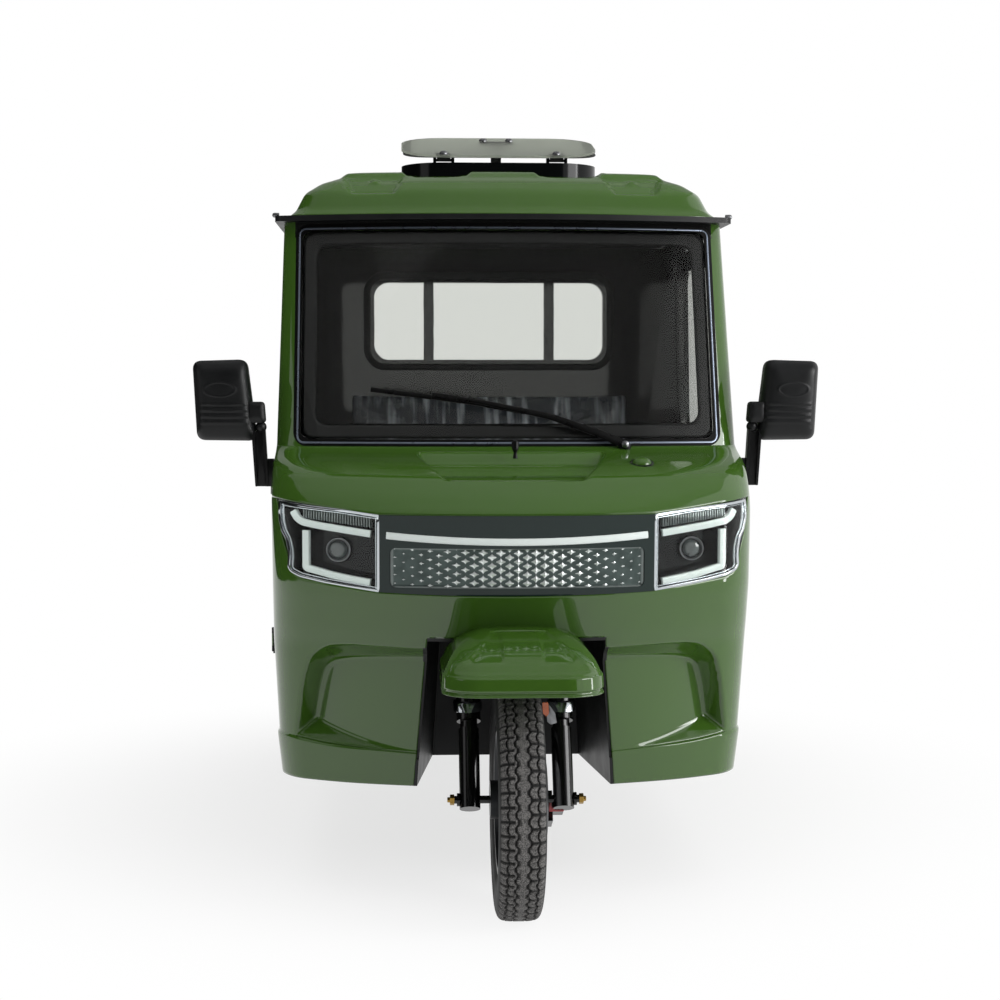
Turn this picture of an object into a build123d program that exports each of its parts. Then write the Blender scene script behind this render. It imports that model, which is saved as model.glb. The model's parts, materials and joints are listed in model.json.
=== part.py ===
from build123d import *
import math
import os

# Electric cargo tricycle with a closed two-door cab and an open drop-tail bed.
# Millimetres. X is the vehicle's width, Z is up, and stations along Y run from the nose backwards.
# Every piece is built on those stations, and export() moves the whole to its centre over the floor.

# Wheels
WHEELBASE = 2190
FRONT_AXLE_Y = 310
TYRE_RADIUS = 275
TYRE_WIDTH = 106
# Half of the tyre's profile: distance in from its side, depth below its tread, ending at the bead
TYRE_PROFILE = [(37, 0), (11, 11), (0, 39), (3, 75), (14, 101), (14, 111)]
RIM_FLANGE = 8
SPOKES = 5
REAR_TRACK = 950
WHEEL_GAP = 0.4

# Front suspension
RAKE_DEG = 26
AXIS_OFFSET = 40
LEG_SPACING = 216
LEG_RADIUS = 24
CROWN_ABOVE_AXLE = 318
CROWN_THICKNESS = 34
STEM_RADIUS = 17
HEAD_TUBE_RADIUS = 30
HEAD_TUBE_LENGTH = 130
HEAD_CLEARANCE = 0.5
BAR_HEIGHT = 1000
BAR_RADIUS = 11
GRIP_RADIUS = 16
GRIP_LENGTH = 120
BAR_HALF_SPAN = 340
BAR_SWEEP = 190
DISC_RADIUS = 95
DISC_X = 64

# Cab skin
CAB_REAR = 1800
PANEL = 15
FRAME_DEPTH = 40
DOOR_DEPTH = 30
SILL_TOP = 410
BELT_Z = 1070
EAVES_Z = 1640
# Cab sections: height, half width, nose station on the centre line, bow radius of the front, corner radius
CAB_SECTIONS = [
    (284, 552, 397, 1000, 120),
    (380, 562, 375, 1000, 130),
    (620, 572, 316, 1000, 160),
    (662, 571, 290, 1000, 165),
    (755, 570, 245, 1000, 180),
    (933, 571, 235, 1000, 180),
    (975, 572, 277, 1100, 165),
    (1022, 572, 352, 1300, 140),
    (1048, 572, 450, 1550, 105),
    (BELT_Z, 573, 600, 1900, 70),
    (EAVES_Z, 562, 800, 1900, 60),
]
# Sections that the bumper band uses, and the first and last that the lamp strip uses
CAB_LOW_ROWS = 3
LAMP_ROWS = (2, 7)
# The bumper band stands proud of the skin below this height
BAND_TOP_Z = 392
BAND_PROUD = 5

# Wheel well under the nose, half widths at its mouth and its back
WELL_FRONT_Y = 300
WELL_REAR_Y = 800
WELL_TOP_Z = 640
WELL_WALL = 8
WELL_LOW_HALF = (258, 192)
WELL_HIGH_HALF = (212, 165)

# Bumper scoops, open towards the wheel. Per height: rim x and y, outer floor x and y, floor y at x 300 and
# at the inner side, share of a grown wall that moves the row up. The first and last rows lie before the skin.
SCOOP_SECTIONS = [
    (350, 512, 444, 492, 462, 423, 398, -1),
    (432, 513, 504, 472, 540, 425, 402, -1),
    (545, 495, 463, 450, 508, 415, 385, 0),
    (583, 483, 446, 415, 472, 410, 377, 1),
    (606, 463, 429, 425, 436, 386, 346, 1),
    (640, 450, 367, 430, 374, 323, 279, 1),
]
SCOOP_MID_X = 300
SCOOP_INNER_X = 60

# Mudguard over the front wheel: height, half width, front station, corner radius
MUDGUARD_SECTIONS = [
    (566, 177, 0, 85),
    (606, 175, 4, 85),
    (629, 164, 32, 82),
    (649, 147, 78, 76),
    (665, 123, 135, 66),
    (677, 90, 205, 50),
]
MUDGUARD_WALL = 4
MUDGUARD_REAR = 420

# Lamp strip across the nose
LAMP_DEPTH = 60
LENS = 5
# Headlamp corners in the front view: distance from the centre line, height
LAMP_CORNERS = [(315, 757), (490, 782), (524, 800), (522, 828), (551, 895), (550, 962), (315, 933)]
STRIP_LOW_Z = 751
PROJECTOR_X = 408
PROJECTOR_Z = 850
PROJECTOR_RADIUS = 34
# Headlamp light guide, a C open towards the centre line: its inner edge, then its outer edge
GUIDE_INNER = [(336, 790), (466, 810), (478, 896), (336, 882)]
GUIDE_OUTER = [(336, 899), (501, 918), (489, 806), (480, 796), (336, 772)]
LIGHT_BAR_HALF = 298
LIGHT_BAR_Z = 887
LIGHT_BAR_SAG = 13
LIGHT_BAR_HEIGHT = 17
STAR_LENS_HALF = 290
STAR_LENS_LOW = 768
STAR_LENS_HIGH = 859

# Windscreen
SCREEN_HALF = 529
SCREEN_LOW_Z = 1077
SCREEN_HIGH_Z = 1634
SCREEN_CORNER = 34
SEAL = 17
SEAL_DEPTH = 14
GLASS = 5

# Doors
DOOR_FRONT_Y = 765
DOOR_REAR_Y = 1530
DOOR_LOW_Z = 425
DOOR_HIGH_Z = 1600
DOOR_BELT_Z = 1085
DOOR_LEAN = 180
DOOR_GAP = 7
DOOR_CORNER = 45
DOOR_WINDOW_RIM = 58
HINGE_X = 582
HINGE_Y = 758
HINGE_HEIGHTS = (590, 985)
HINGE_RADIUS = 8
HINGE_PIN_RADIUS = 4
HINGE_PIN_CLEARANCE = 0.3
HINGE_KNUCKLE = 30
HINGE_LEAF = 38

# Rear wall and its window
REAR_WALL = 25
REAR_WINDOW_HALF = 346
REAR_WINDOW_LOW = 1303
REAR_WINDOW_HIGH = 1535
REAR_WINDOW_CORNER = 45
MULLION_X = 182
MULLION_WIDTH = 30

# Roof
ROOF_TOP_Z = 1768
ROOF_FRONT_Y = 782
ROOF_REAR_Y = 1822
# Roof sections: height above the gutter, distance in from the eaves, corner radius
ROOF_SECTIONS = [(0, 14, 80), (17, 32, 90), (62, 54, 90), (88, 92, 85), (106, 140, 75), (114, 198, 60)]
ROOF_WALL = 16
GUTTER_THICKNESS = 14
GUTTER_REACH = 20
GUTTER_CORNER = 24
RIB_HEIGHT = 10
# Pressed ribs along the roof: centre from the centre line, half width
ROOF_RIBS = [(0, 88), (335, 80), (-335, 80)]
RIB_FRONT_Y = 925

# Roof hatch
HATCH_FRONT_Y = 1060
HATCH_LENGTH = 330
HATCH_HALF = 262
HATCH_CORNER = 120
HATCH_FRAME_HEIGHT = 46
HATCH_FRAME_WIDTH = 34
HATCH_TILT_DEG = 15
HATCH_GLASS = 6
HATCH_RAISE = 18
HATCH_PIN_RADIUS = 4
HATCH_PIN_CLEARANCE = 0.3
HATCH_PIN_Z = 8

# Cab interior
FLOOR_Z = 380
FLOOR = 15
SEAT_FRONT_Y = 1215
SEAT_HALF = 432
SEAT_BOX_SETBACK = 25
SEAT_SPLIT = 2
SEAT_BASE_TOP = 610
CUSHION_THICKNESS = 110
BACKREST_TOP = 1213
BACKREST_THICKNESS = 100
DASH_TOP_Z = 905
DASH_FRONT_Y = 470
DASH_LOW_Z = 560
DASH_HALF = 500

# Mirrors
MIRROR_BRACKET_Y = 690
MIRROR_BRACKET_LOW = 978
MIRROR_BRACKET_HIGH = 1172
MIRROR_HEAD_INNER = 608
MIRROR_HEAD_OUTER = 778
MIRROR_HEAD_LOW = 1090
MIRROR_HEAD_HIGH = 1292
MIRROR_HEAD_DEPTH = 62

# Wiper: pivot and blade ends on the windscreen, by distance from the centre line and height
WIPER_PIVOT = (276, 1104)
WIPER_TIP = (-330, 1213)
WIPER_JOINT = (-96, 1180)

# Chassis
RAIL_X = 300
RAIL_WIDTH = 40
RAIL_HEIGHT = 60
CAB_RAIL_Z = 350
BED_RAIL_Z = 530
RAIL_FRONT_Y = 812
KICK_FRONT_Y = 1290
KICK_REAR_Y = 1560

# Bed
BED_FRONT_Y = 1840
BED_LENGTH = 1400
BED_HALF = 548
BED_FLOOR_Z = 625
BED_FLOOR = 15
BED_HEIGHT = 325
BED_WALL = 28
BED_RIB = 14
TAILGATE_GAP = 6
GATE_HINGE_X = 350
GATE_HINGE_HALF = 35
GATE_HINGE_IN = 10
GATE_HINGE_DROP = 12
GATE_HINGE_RADIUS = 7
# Cross-members: station, lowest height, thickness along Y
LOW_MEMBERS = [(842, 40), (1900, 40), (2180, 40), (2840, 40), (3150, 40)]
# Beams under the bed floor: station, half length, short where the rear mudguards pass
BED_BEAMS = [(1890, 538), (2140, 538), (2500, 395), (2860, 538), (3130, 538)]
BATTERY_HALF = 220
BATTERY_FRONT_Y = 1885
BATTERY_REAR_Y = 2195
BED_BEAM_WIDTH = 50

# Rear running gear
AXLE_TUBE_RADIUS = 36
DIFF_RADIUS = 112
MOTOR_RADIUS = 82
MOTOR_LENGTH = 200
SPRING_HALF = 400
SPRING_WIDTH = 50
SPRING_THICKNESS = 30
SPRING_DROP = 96
GUARD_CLEARANCE = 52
GUARD_THICKNESS = 5
GUARD_WIDTH = 132

REAR_AXLE_Y = FRONT_AXLE_Y + WHEELBASE
BED_REAR_Y = BED_FRONT_Y + BED_LENGTH
OVERALL = BED_REAR_Y
RAKE = math.radians(RAKE_DEG)
UP_AXIS = Vector(0, math.sin(RAKE), math.cos(RAKE))
BACK_AXIS = Vector(0, math.cos(RAKE), -math.sin(RAKE))
LEG_X = LEG_SPACING / 2
RAIL_TOP = BED_RAIL_Z + RAIL_HEIGHT / 2
BED_TOP_Z = BED_FLOOR_Z + BED_HEIGHT


def on_steering_axis(height):
    """Point of the steering axis at that height."""
    foot = Vector(0, FRONT_AXLE_Y, TYRE_RADIUS) + BACK_AXIS * AXIS_OFFSET
    return foot + UP_AXIS * ((height - foot.Z) / UP_AXIS.Z)


def block(x0, x1, y0, y1, z0, z1):
    """Box between six coordinates."""
    size = (x1 - x0, y1 - y0, z1 - z0)
    middle = ((x0 + x1) / 2, (y0 + y1) / 2, (z0 + z1) / 2)
    return Pos(*middle) * Box(*size)


def rod(start, end, radius):
    """Solid cylinder from one point to another."""
    start, end = Vector(*start), Vector(*end)
    along = end - start
    plane = Plane(origin=start, z_dir=along)
    return extrude(plane * Circle(radius), amount=along.length)


def mirrored(solid):
    """The piece and its twin on the other side."""
    return [solid, mirror(solid, about=Plane.YZ)]


def front_prism(face, y0, y1):
    """Carries an outline drawn in the front view, x and z, from one station to another."""
    return extrude(Plane(origin=(0, y1, 0), x_dir=(1, 0, 0), z_dir=(0, -1, 0)) * face, amount=y1 - y0)


def side_prism(face, x0, x1):
    """Carries an outline drawn in the side view, y and z, from one width to another."""
    return extrude(Plane(origin=(x0, 0, 0), x_dir=(0, 1, 0), z_dir=(1, 0, 0)) * face, amount=x1 - x0)


def outline(points):
    """Flat face inside a closed run of straight lines."""
    return make_face(Polyline(*points, close=True))


def rounded(points, radius):
    """Flat face inside straight lines with every corner rounded."""
    face = outline(points)
    return fillet(face.vertices(), radius)


def rectangle(half_width, low, high, corner):
    """Upright rounded rectangle about the centre line."""
    return rounded([(-half_width, low), (half_width, low), (half_width, high), (-half_width, high)], corner)


def plan_section(height, half_width, nose, bow, corner, inset=0, rear=CAB_REAR):
    """Plan outline of the cab: straight sides, a bowed front and round corners, moved in by the inset."""
    w, front, radius = half_width - inset, nose + inset, bow - inset
    side = front + radius - math.sqrt(radius**2 - w**2)
    sides = [Line((w, side), (w, rear)), Line((w, rear), (-w, rear)), Line((-w, rear), (-w, side))]
    face = make_face([ThreePointArc((-w, side), (0, front), (w, side)), *sides])
    face = fillet(face.vertices().group_by(Axis.Y)[0], corner - inset)
    return Pos(0, 0, height) * face


def cab_body(inset=0, low=0, high=len(CAB_SECTIONS), rear=CAB_REAR):
    """Solid cab between two of its sections, moved in by the inset."""
    return loft([plan_section(*row, inset, rear) for row in CAB_SECTIONS[low:high]], ruled=True)


def scoop(grow=0):
    """Space of both bumper scoops: slanted outer wall, ledge, floor and top wall, moved out by the growth."""
    rows = []
    for height, rim_x, rim_y, floor_x, floor_y, mid_y, inner_y, rising in SCOOP_SECTIONS:
        out_x, out_y = 2 * rim_x - floor_x + grow, 2 * rim_y - floor_y + grow
        corner, end = (floor_x + grow, floor_y + grow), (SCOOP_INNER_X, inner_y + grow)
        edges = [
            Polyline(end, (SCOOP_INNER_X, 100), (out_x, 100), (out_x, out_y), corner),
            ThreePointArc(corner, (SCOOP_MID_X, mid_y + grow), end),
        ]
        rows.append(Pos(0, 0, height + rising * grow * 0.7) * make_face(edges))
    right = loft(rows, ruled=True)
    return right + mirror(right, about=Plane.YZ)


def well_space(grow=0):
    """Space that the front wheel steers in, under the nose, with its walls moved out."""
    low, high = [], []
    for row, halves, height in ((low, WELL_LOW_HALF, 200), (high, WELL_HIGH_HALF, WELL_TOP_Z + grow)):
        front, back = halves[0] + grow, halves[1] + grow
        y0, y1 = WELL_FRONT_Y - 60, WELL_REAR_Y + grow
        row += [(-front, y0, height), (front, y0, height), (back, y1, height), (-back, y1, height)]
    faces = [Face(Wire.make_polygon([Vector(*p) for p in row])) for row in (low, high)]
    return loft(faces, ruled=True)


def strip_face():
    """Front view of the whole lamp strip: two bowed edges and the outer ends of the headlamps."""
    right = LAMP_CORNERS
    left = [(-x, z) for x, z in reversed(right)]
    (ix, iz), (jx, jz) = right[0], right[-1]
    edges = [
        ThreePointArc((-ix, iz), (0, STRIP_LOW_Z), (ix, iz)),
        Polyline(*right),
        Line((jx, jz), (-jx, jz)),
        Polyline(*left),
    ]
    return make_face(edges)


def lamp_face(shrink=0):
    """Front view of the right headlamp, with its edges moved in."""
    face = outline(LAMP_CORNERS)
    return offset(face, -shrink, kind=Kind.INTERSECTION) if shrink else face


def door_face(grow=0):
    """Side view of a door, upright to the belt and leaning back along the windscreen pillar above it."""
    points = [
        (DOOR_FRONT_Y, DOOR_LOW_Z),
        (DOOR_REAR_Y, DOOR_LOW_Z),
        (DOOR_REAR_Y, DOOR_HIGH_Z),
        (DOOR_FRONT_Y + DOOR_LEAN, DOOR_HIGH_Z),
        (DOOR_FRONT_Y, DOOR_BELT_Z),
    ]
    face = rounded(points, DOOR_CORNER)
    return offset(face, grow, kind=Kind.ARC) if grow else face


def window_face():
    """Side view of a door's window."""
    low, high = DOOR_BELT_Z + 22, DOOR_HIGH_Z - DOOR_WINDOW_RIM
    lean = DOOR_LEAN / (DOOR_HIGH_Z - DOOR_BELT_Z)
    front = DOOR_FRONT_Y + DOOR_WINDOW_RIM
    points = [
        (front + 10, low),
        (DOOR_REAR_Y - DOOR_WINDOW_RIM, low),
        (DOOR_REAR_Y - DOOR_WINDOW_RIM, high),
        (front + lean * (high - DOOR_BELT_Z), high),
    ]
    return rounded(points, 38)


def hinge_pieces(side):
    """Fixed and moving halves of both hinges of one door: knuckles round a pin, with a leaf to each panel."""
    fixed, moving = [], []
    half = HINGE_KNUCKLE / 2
    x = side * HINGE_X
    for z in HINGE_HEIGHTS:
        pin = rod((x, HINGE_Y, z - 2 * half), (x, HINGE_Y, z + 2 * half), HINGE_PIN_RADIUS)
        ends = [
            rod((x, HINGE_Y, z + 0.5 + half), (x, HINGE_Y, z + 2 * half), HINGE_RADIUS),
            rod((x, HINGE_Y, z - 2 * half), (x, HINGE_Y, z - 0.5 - half), HINGE_RADIUS),
        ]
        lo, hi = sorted((side * (HINGE_X - 30), side * (HINGE_X + 2)))
        leaves = [
            block(lo, hi, HINGE_Y - HINGE_LEAF, HINGE_Y - 2, z + 0.5 + half, z + 2 * half),
            block(lo, hi, HINGE_Y - HINGE_LEAF, HINGE_Y - 2, z - 2 * half, z - 0.5 - half),
        ]
        back = block(lo, hi, HINGE_Y - HINGE_LEAF, HINGE_Y - HINGE_RADIUS - 4, z - half - 1, z + half + 1)
        fixed.append(pin + ends + leaves + back)
        barrel = rod((x, HINGE_Y, z - half), (x, HINGE_Y, z + half), HINGE_RADIUS)
        leaf = block(lo, hi, HINGE_Y + 2, HINGE_Y + HINGE_LEAF, z - half, z + half)
        hole = rod((x, HINGE_Y, z - half), (x, HINGE_Y, z + half), HINGE_PIN_RADIUS + HINGE_PIN_CLEARANCE)
        moving.append(barrel + leaf - hole)
    return fixed, moving


def cab_pieces():
    """Front panel, lamps, pillars, doors, glass, rear wall and floor of the cab."""
    nodes = {}
    skin = cab_body()
    lining = cab_body(FRAME_DEPTH, rear=CAB_REAR + 60)
    belt = len(CAB_SECTIONS) - 1
    band = cab_body(-BAND_PROUD, 0, CAB_LOW_ROWS) & block(-700, 700, 0, CAB_REAR, 200, BAND_TOP_Z)
    nose = (cab_body(0, 0, belt) + band) - scoop()
    nose_inside = cab_body(PANEL, 0, belt, CAB_REAR + 60) - scoop(PANEL)
    front_only = block(-600, 600, 0, DOOR_FRONT_Y - DOOR_GAP, 200, BELT_Z)
    panel = (nose - nose_inside) & front_only
    panel = panel - front_prism(strip_face(), 100, 560) - well_space(WELL_WALL)

    well = well_space(WELL_WALL) - well_space()
    column_hole = rod(on_steering_axis(WELL_TOP_Z - 60), on_steering_axis(WELL_TOP_Z + 60), HEAD_TUBE_RADIUS)
    well = (well & cab_body(0, 0, belt)) - scoop() - column_hole
    nodes["wheel_well"] = well

    nodes.update(lamp_pieces())
    nodes.update(screen_pieces(skin))

    opening = mirrored(side_prism(door_face(DOOR_GAP), 300, 700))
    shell = (skin - lining) - opening
    pillar_line = [
        (DOOR_FRONT_Y - DOOR_GAP, BELT_Z),
        (DOOR_FRONT_Y + 60, BELT_Z),
        (DOOR_FRONT_Y + DOOR_LEAN + 80, EAVES_Z),
        (400, EAVES_Z),
        (400, BELT_Z),
    ]
    pillar_zone = mirrored(side_prism(outline(pillar_line), 200, 700))
    screen_zone = front_prism(rectangle(SCREEN_HALF, SCREEN_LOW_Z, SCREEN_HIGH_Z, SCREEN_CORNER), 400, 980)
    upper = block(-700, 700, DOOR_FRONT_Y - 300, CAB_REAR - REAR_WALL, BELT_Z, EAVES_Z)
    quarter = block(-700, 700, DOOR_REAR_Y - 120, CAB_REAR - REAR_WALL, SILL_TOP, EAVES_Z)
    sides = shell & (pillar_zone[0] + pillar_zone[1] + upper + quarter)
    nodes["cab_sides"] = (sides - screen_zone).solids()

    wall = skin & block(-700, 700, CAB_REAR - REAR_WALL, CAB_REAR, 200, EAVES_Z)
    half = MULLION_WIDTH / 2
    low, high = REAR_WINDOW_LOW, REAR_WINDOW_HIGH
    pane = rectangle(REAR_WINDOW_HALF, low, high, REAR_WINDOW_CORNER)
    window = front_prism(pane, CAB_REAR - 80, CAB_REAR + 80)
    for x in (-MULLION_X, MULLION_X):
        window -= block(x - half, x + half, CAB_REAR - 90, CAB_REAR + 90, low - 5, high + 5)
    rail_slots = mirrored(rail_solid(2))
    nodes["rear_wall"] = wall - window - rail_slots
    nodes["rear_window_glass"] = window & block(-700, 700, CAB_REAR - 14, CAB_REAR - 14 + GLASS, 1200, 1600)

    sill = shell & block(-700, 700, DOOR_FRONT_Y - DOOR_GAP, CAB_REAR - REAR_WALL, 200, SILL_TOP)
    floor_half = CAB_SECTIONS[1][1] - FRAME_DEPTH / 2
    back, top = CAB_REAR - REAR_WALL, FLOOR_Z + FLOOR
    box_front = SEAT_FRONT_Y + SEAT_BOX_SETBACK
    tub = block(-floor_half, floor_half, WELL_REAR_Y + WELL_WALL, back, FLOOR_Z, top) + sill
    tub += block(-SEAT_HALF, SEAT_HALF, box_front, back, FLOOR_Z, SEAT_BASE_TOP)
    inner = SEAT_HALF - FLOOR
    tub -= block(-inner, inner, box_front + FLOOR, back + 5, FLOOR_Z - 5, SEAT_BASE_TOP - FLOOR)
    nodes["cab_floor"] = tub - neck_post(1)

    door_skin = skin - cab_body(DOOR_DEPTH, rear=CAB_REAR + 60)
    glass_skin = cab_body(12, rear=CAB_REAR + 60) - cab_body(12 + GLASS, rear=CAB_REAR + 60)
    for name, side in (("left", 1), ("right", -1)):
        fixed, moving = hinge_pieces(side)
        lo, hi = sorted((side * 300, side * 700))
        leaf = door_skin & side_prism(door_face(), lo, hi)
        leaf -= side_prism(window_face(), lo, hi)
        flank = CAB_SECTIONS[-2][1]
        grip = sorted((side * (flank - 7), side * (flank + 11)))
        handle = block(*grip, DOOR_REAR_Y - 190, DOOR_REAR_Y - 60, 1008, 1036)
        nodes["door_" + name] = leaf + moving + handle
        nodes["door_glass_" + name] = glass_skin & side_prism(window_face(), lo, hi)
        panel += [f - skin for f in fixed]
    nodes["front_panel"] = panel
    return nodes


def lamp_pieces():
    """Dark strip panel, headlamps and light guides, all cut from the nose surface at set depths."""
    nodes = {}
    low, high = LAMP_ROWS
    steps = (0, 3, LENS, 8, 12, PANEL, LAMP_DEPTH - 8, LAMP_DEPTH)
    depth = {d: cab_body(d, low, high, CAB_REAR + 60) for d in steps}
    strip = front_prism(strip_face(), 100, 560)
    right_lamp = front_prism(lamp_face(), 100, 560)
    lamps = mirrored(right_lamp)
    bar_low, bar_high = LIGHT_BAR_Z - LIGHT_BAR_HEIGHT / 2, LIGHT_BAR_Z + LIGHT_BAR_HEIGHT / 2
    w, sag = LIGHT_BAR_HALF, LIGHT_BAR_SAG
    bar_edges = [
        ThreePointArc((-w, bar_low), (0, bar_low - sag), (w, bar_low)),
        Line((w, bar_low), (w, bar_high)),
        ThreePointArc((w, bar_high), (0, bar_high - sag), (-w, bar_high)),
        Line((-w, bar_high), (-w, bar_low)),
    ]
    bar = front_prism(make_face(bar_edges), 100, 560)
    star = front_prism(rectangle(STAR_LENS_HALF, STAR_LENS_LOW, STAR_LENS_HIGH, 14), 100, 560)
    panel = ((depth[0] - depth[PANEL]) & strip) - lamps - bar - star
    nodes["lamp_panel"] = panel

    cavity = front_prism(lamp_face(8), 100, 560)
    housing = (depth[LENS] - depth[LAMP_DEPTH]) & right_lamp
    housing -= (depth[LENS] - depth[LAMP_DEPTH - 8]) & cavity
    nose_y = CAB_SECTIONS[5][2]
    x, z = PROJECTOR_X, PROJECTOR_Z
    housing += rod((x, nose_y + 128, z), (x, nose_y + 190, z), PROJECTOR_RADIUS) & depth[LENS]
    nodes["headlamp_lenses"] = mirrored((depth[0] - depth[LENS]) & right_lamp)

    c_space = front_prism(outline(GUIDE_INNER + GUIDE_OUTER), 100, 560)
    guide = (depth[8] - depth[12]) & c_space
    housing += (depth[12] - depth[LAMP_DEPTH]) & c_space
    nodes["headlamp_housings"] = mirrored(housing)
    nodes["light_guides"] = [*mirrored(guide), (depth[0] - depth[PANEL]) & bar, (depth[3] - depth[12]) & star]
    return nodes


def screen_pieces(skin):
    """Windscreen glass and the rubber seal round it."""
    outer = front_prism(rectangle(SCREEN_HALF, SCREEN_LOW_Z, SCREEN_HIGH_Z, SCREEN_CORNER), 400, 1000)
    corner = SCREEN_CORNER - SEAL / 2
    inner_face = rectangle(SCREEN_HALF - SEAL, SCREEN_LOW_Z + SEAL, SCREEN_HIGH_Z - SEAL, corner)
    inner = front_prism(inner_face, 400, 1000)
    last = len(CAB_SECTIONS)
    depth = {d: cab_body(d, last - 2, last, CAB_REAR + 60) for d in (0, 4, 4 + GLASS, SEAL_DEPTH)}
    seal = ((depth[0] - depth[SEAL_DEPTH]) & outer) - inner
    return {"windscreen_seal": seal, "windscreen": (depth[4] - depth[4 + GLASS]) & inner}


def mudguard():
    """Visor over the front wheel, hollow below, ending on the nose."""

    def shape(inset):
        rows = []
        for height, half, front, corner in MUDGUARD_SECTIONS:
            w, y0 = half - inset, front + inset
            face = outline([(-w, y0), (w, y0), (w, MUDGUARD_REAR), (-w, MUDGUARD_REAR)])
            face = fillet(face.vertices().group_by(Axis.Y)[0], corner - inset)
            rows.append(Pos(0, 0, height - inset) * face)
        return loft(rows, ruled=True)

    floor = block(-400, 400, -50, MUDGUARD_REAR + 50, 400, MUDGUARD_SECTIONS[0][0])
    return shape(0) - shape(MUDGUARD_WALL) - floor - cab_body(0, 0, 6)


def roof_outline(height, inset, corner, reach=0):
    """Plan of the roof: the eaves section with an overhanging, bowed front."""
    w = CAB_SECTIONS[-1][1] - inset + reach
    front, rear = ROOF_FRONT_Y + inset - reach, ROOF_REAR_Y - inset + reach
    radius = CAB_SECTIONS[-1][3]
    side = front + radius - math.sqrt(radius**2 - w**2)
    sides = [Line((w, side), (w, rear)), Line((w, rear), (-w, rear)), Line((-w, rear), (-w, side))]
    face = make_face([ThreePointArc((-w, side), (0, front), (w, side)), *sides])
    return Pos(0, 0, height) * fillet(face.vertices(), corner)


def roof_pieces():
    """Domed roof with pressed ribs, the black gutter under it and the hatch frame."""
    base = EAVES_Z + GUTTER_THICKNESS

    def dome(inset):
        share = 1 - inset / (ROOF_TOP_Z - base)
        rows = []
        for rise, inward, corner in ROOF_SECTIONS:
            rows.append(roof_outline(base + rise * share, inward + inset, corner - inset / 2))
        return loft(rows, ruled=True)

    outer = dome(0)
    cap = outer - dome(ROOF_WALL)
    for x, half in ROOF_RIBS:
        top = ROOF_TOP_Z + RIB_HEIGHT
        rib_low = block(x - half, x + half, RIB_FRONT_Y, ROOF_REAR_Y - 150, ROOF_TOP_Z - 30, top)
        rib = chamfer(rib_low.faces().sort_by(Axis.Z)[-1].edges(), RIB_HEIGHT - 1)
        cap += rib - dome(ROOF_WALL)
    hatch_rear = HATCH_FRONT_Y + HATCH_LENGTH
    hatch = rounded(
        [
            (-HATCH_HALF, HATCH_FRONT_Y),
            (HATCH_HALF, HATCH_FRONT_Y),
            (HATCH_HALF, hatch_rear),
            (-HATCH_HALF, hatch_rear),
        ],
        HATCH_CORNER,
    )
    bore = offset(hatch, -HATCH_FRAME_WIDTH, kind=Kind.ARC)
    frame_low = ROOF_TOP_Z - ROOF_WALL
    cap -= Pos(0, 0, frame_low - 20) * extrude(hatch, 100)
    frame_high = ROOF_TOP_Z + HATCH_FRAME_HEIGHT
    frame = Pos(0, 0, frame_low) * extrude(hatch, frame_high - frame_low)
    frame -= Pos(0, 0, frame_low - 10) * extrude(bore, 200)
    pin_y, pin_z = HATCH_FRONT_Y + 20, frame_high + HATCH_PIN_Z
    for x in (-150, 150):
        for lug_x in (x - 28, x + 20):
            frame += block(lug_x, lug_x + 8, pin_y - 9, pin_y + 9, frame_high, pin_z + 6)
        frame -= rod((x - 40, pin_y, pin_z), (x + 40, pin_y, pin_z), HATCH_PIN_RADIUS + HATCH_PIN_CLEARANCE)
    gutter = extrude(roof_outline(EAVES_Z, 0, GUTTER_CORNER, GUTTER_REACH), GUTTER_THICKNESS)
    gutter -= extrude(roof_outline(EAVES_Z - 1, FRAME_DEPTH, 50), GUTTER_THICKNESS + 2)
    return {"roof_cap": cap, "roof_gutter": gutter, "hatch_frame": frame, **hatch_pieces(hatch, frame_high)}


def hatch_pieces(hatch, frame_high):
    """Hatch glass hinged along its front edge, with arms and a latch grip, tipped up as it is left open."""
    low = frame_high + HATCH_RAISE
    glass = Pos(0, 0, low) * extrude(hatch, HATCH_GLASS)
    pin_y, pin_z = HATCH_FRONT_Y + 20, frame_high + HATCH_PIN_Z
    fittings = []
    for x in (-150, 150):
        fittings.append(
            rod((x - 28, pin_y, pin_z), (x + 28, pin_y, pin_z), HATCH_PIN_RADIUS)
            + block(x - 18, x + 18, pin_y - 4, pin_y + 34, low - 4, low)
            + block(x - 18, x + 18, pin_y - 4, pin_y + 4, pin_z, low)
        )
    grip_y = HATCH_FRONT_Y + HATCH_LENGTH - HATCH_FRAME_WIDTH - 44
    grip = block(-45, 45, grip_y, grip_y + 26, low - 14, low)
    grip += block(-14, 14, grip_y + 4, grip_y + 20, low - 62, low - 14)
    turn = Pos(0, pin_y, pin_z) * Rot(HATCH_TILT_DEG, 0, 0) * Pos(0, -pin_y, -pin_z)
    return {"hatch_glass": turn * glass, "hatch_fittings": [turn * f for f in [*fittings, grip]]}


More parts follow.
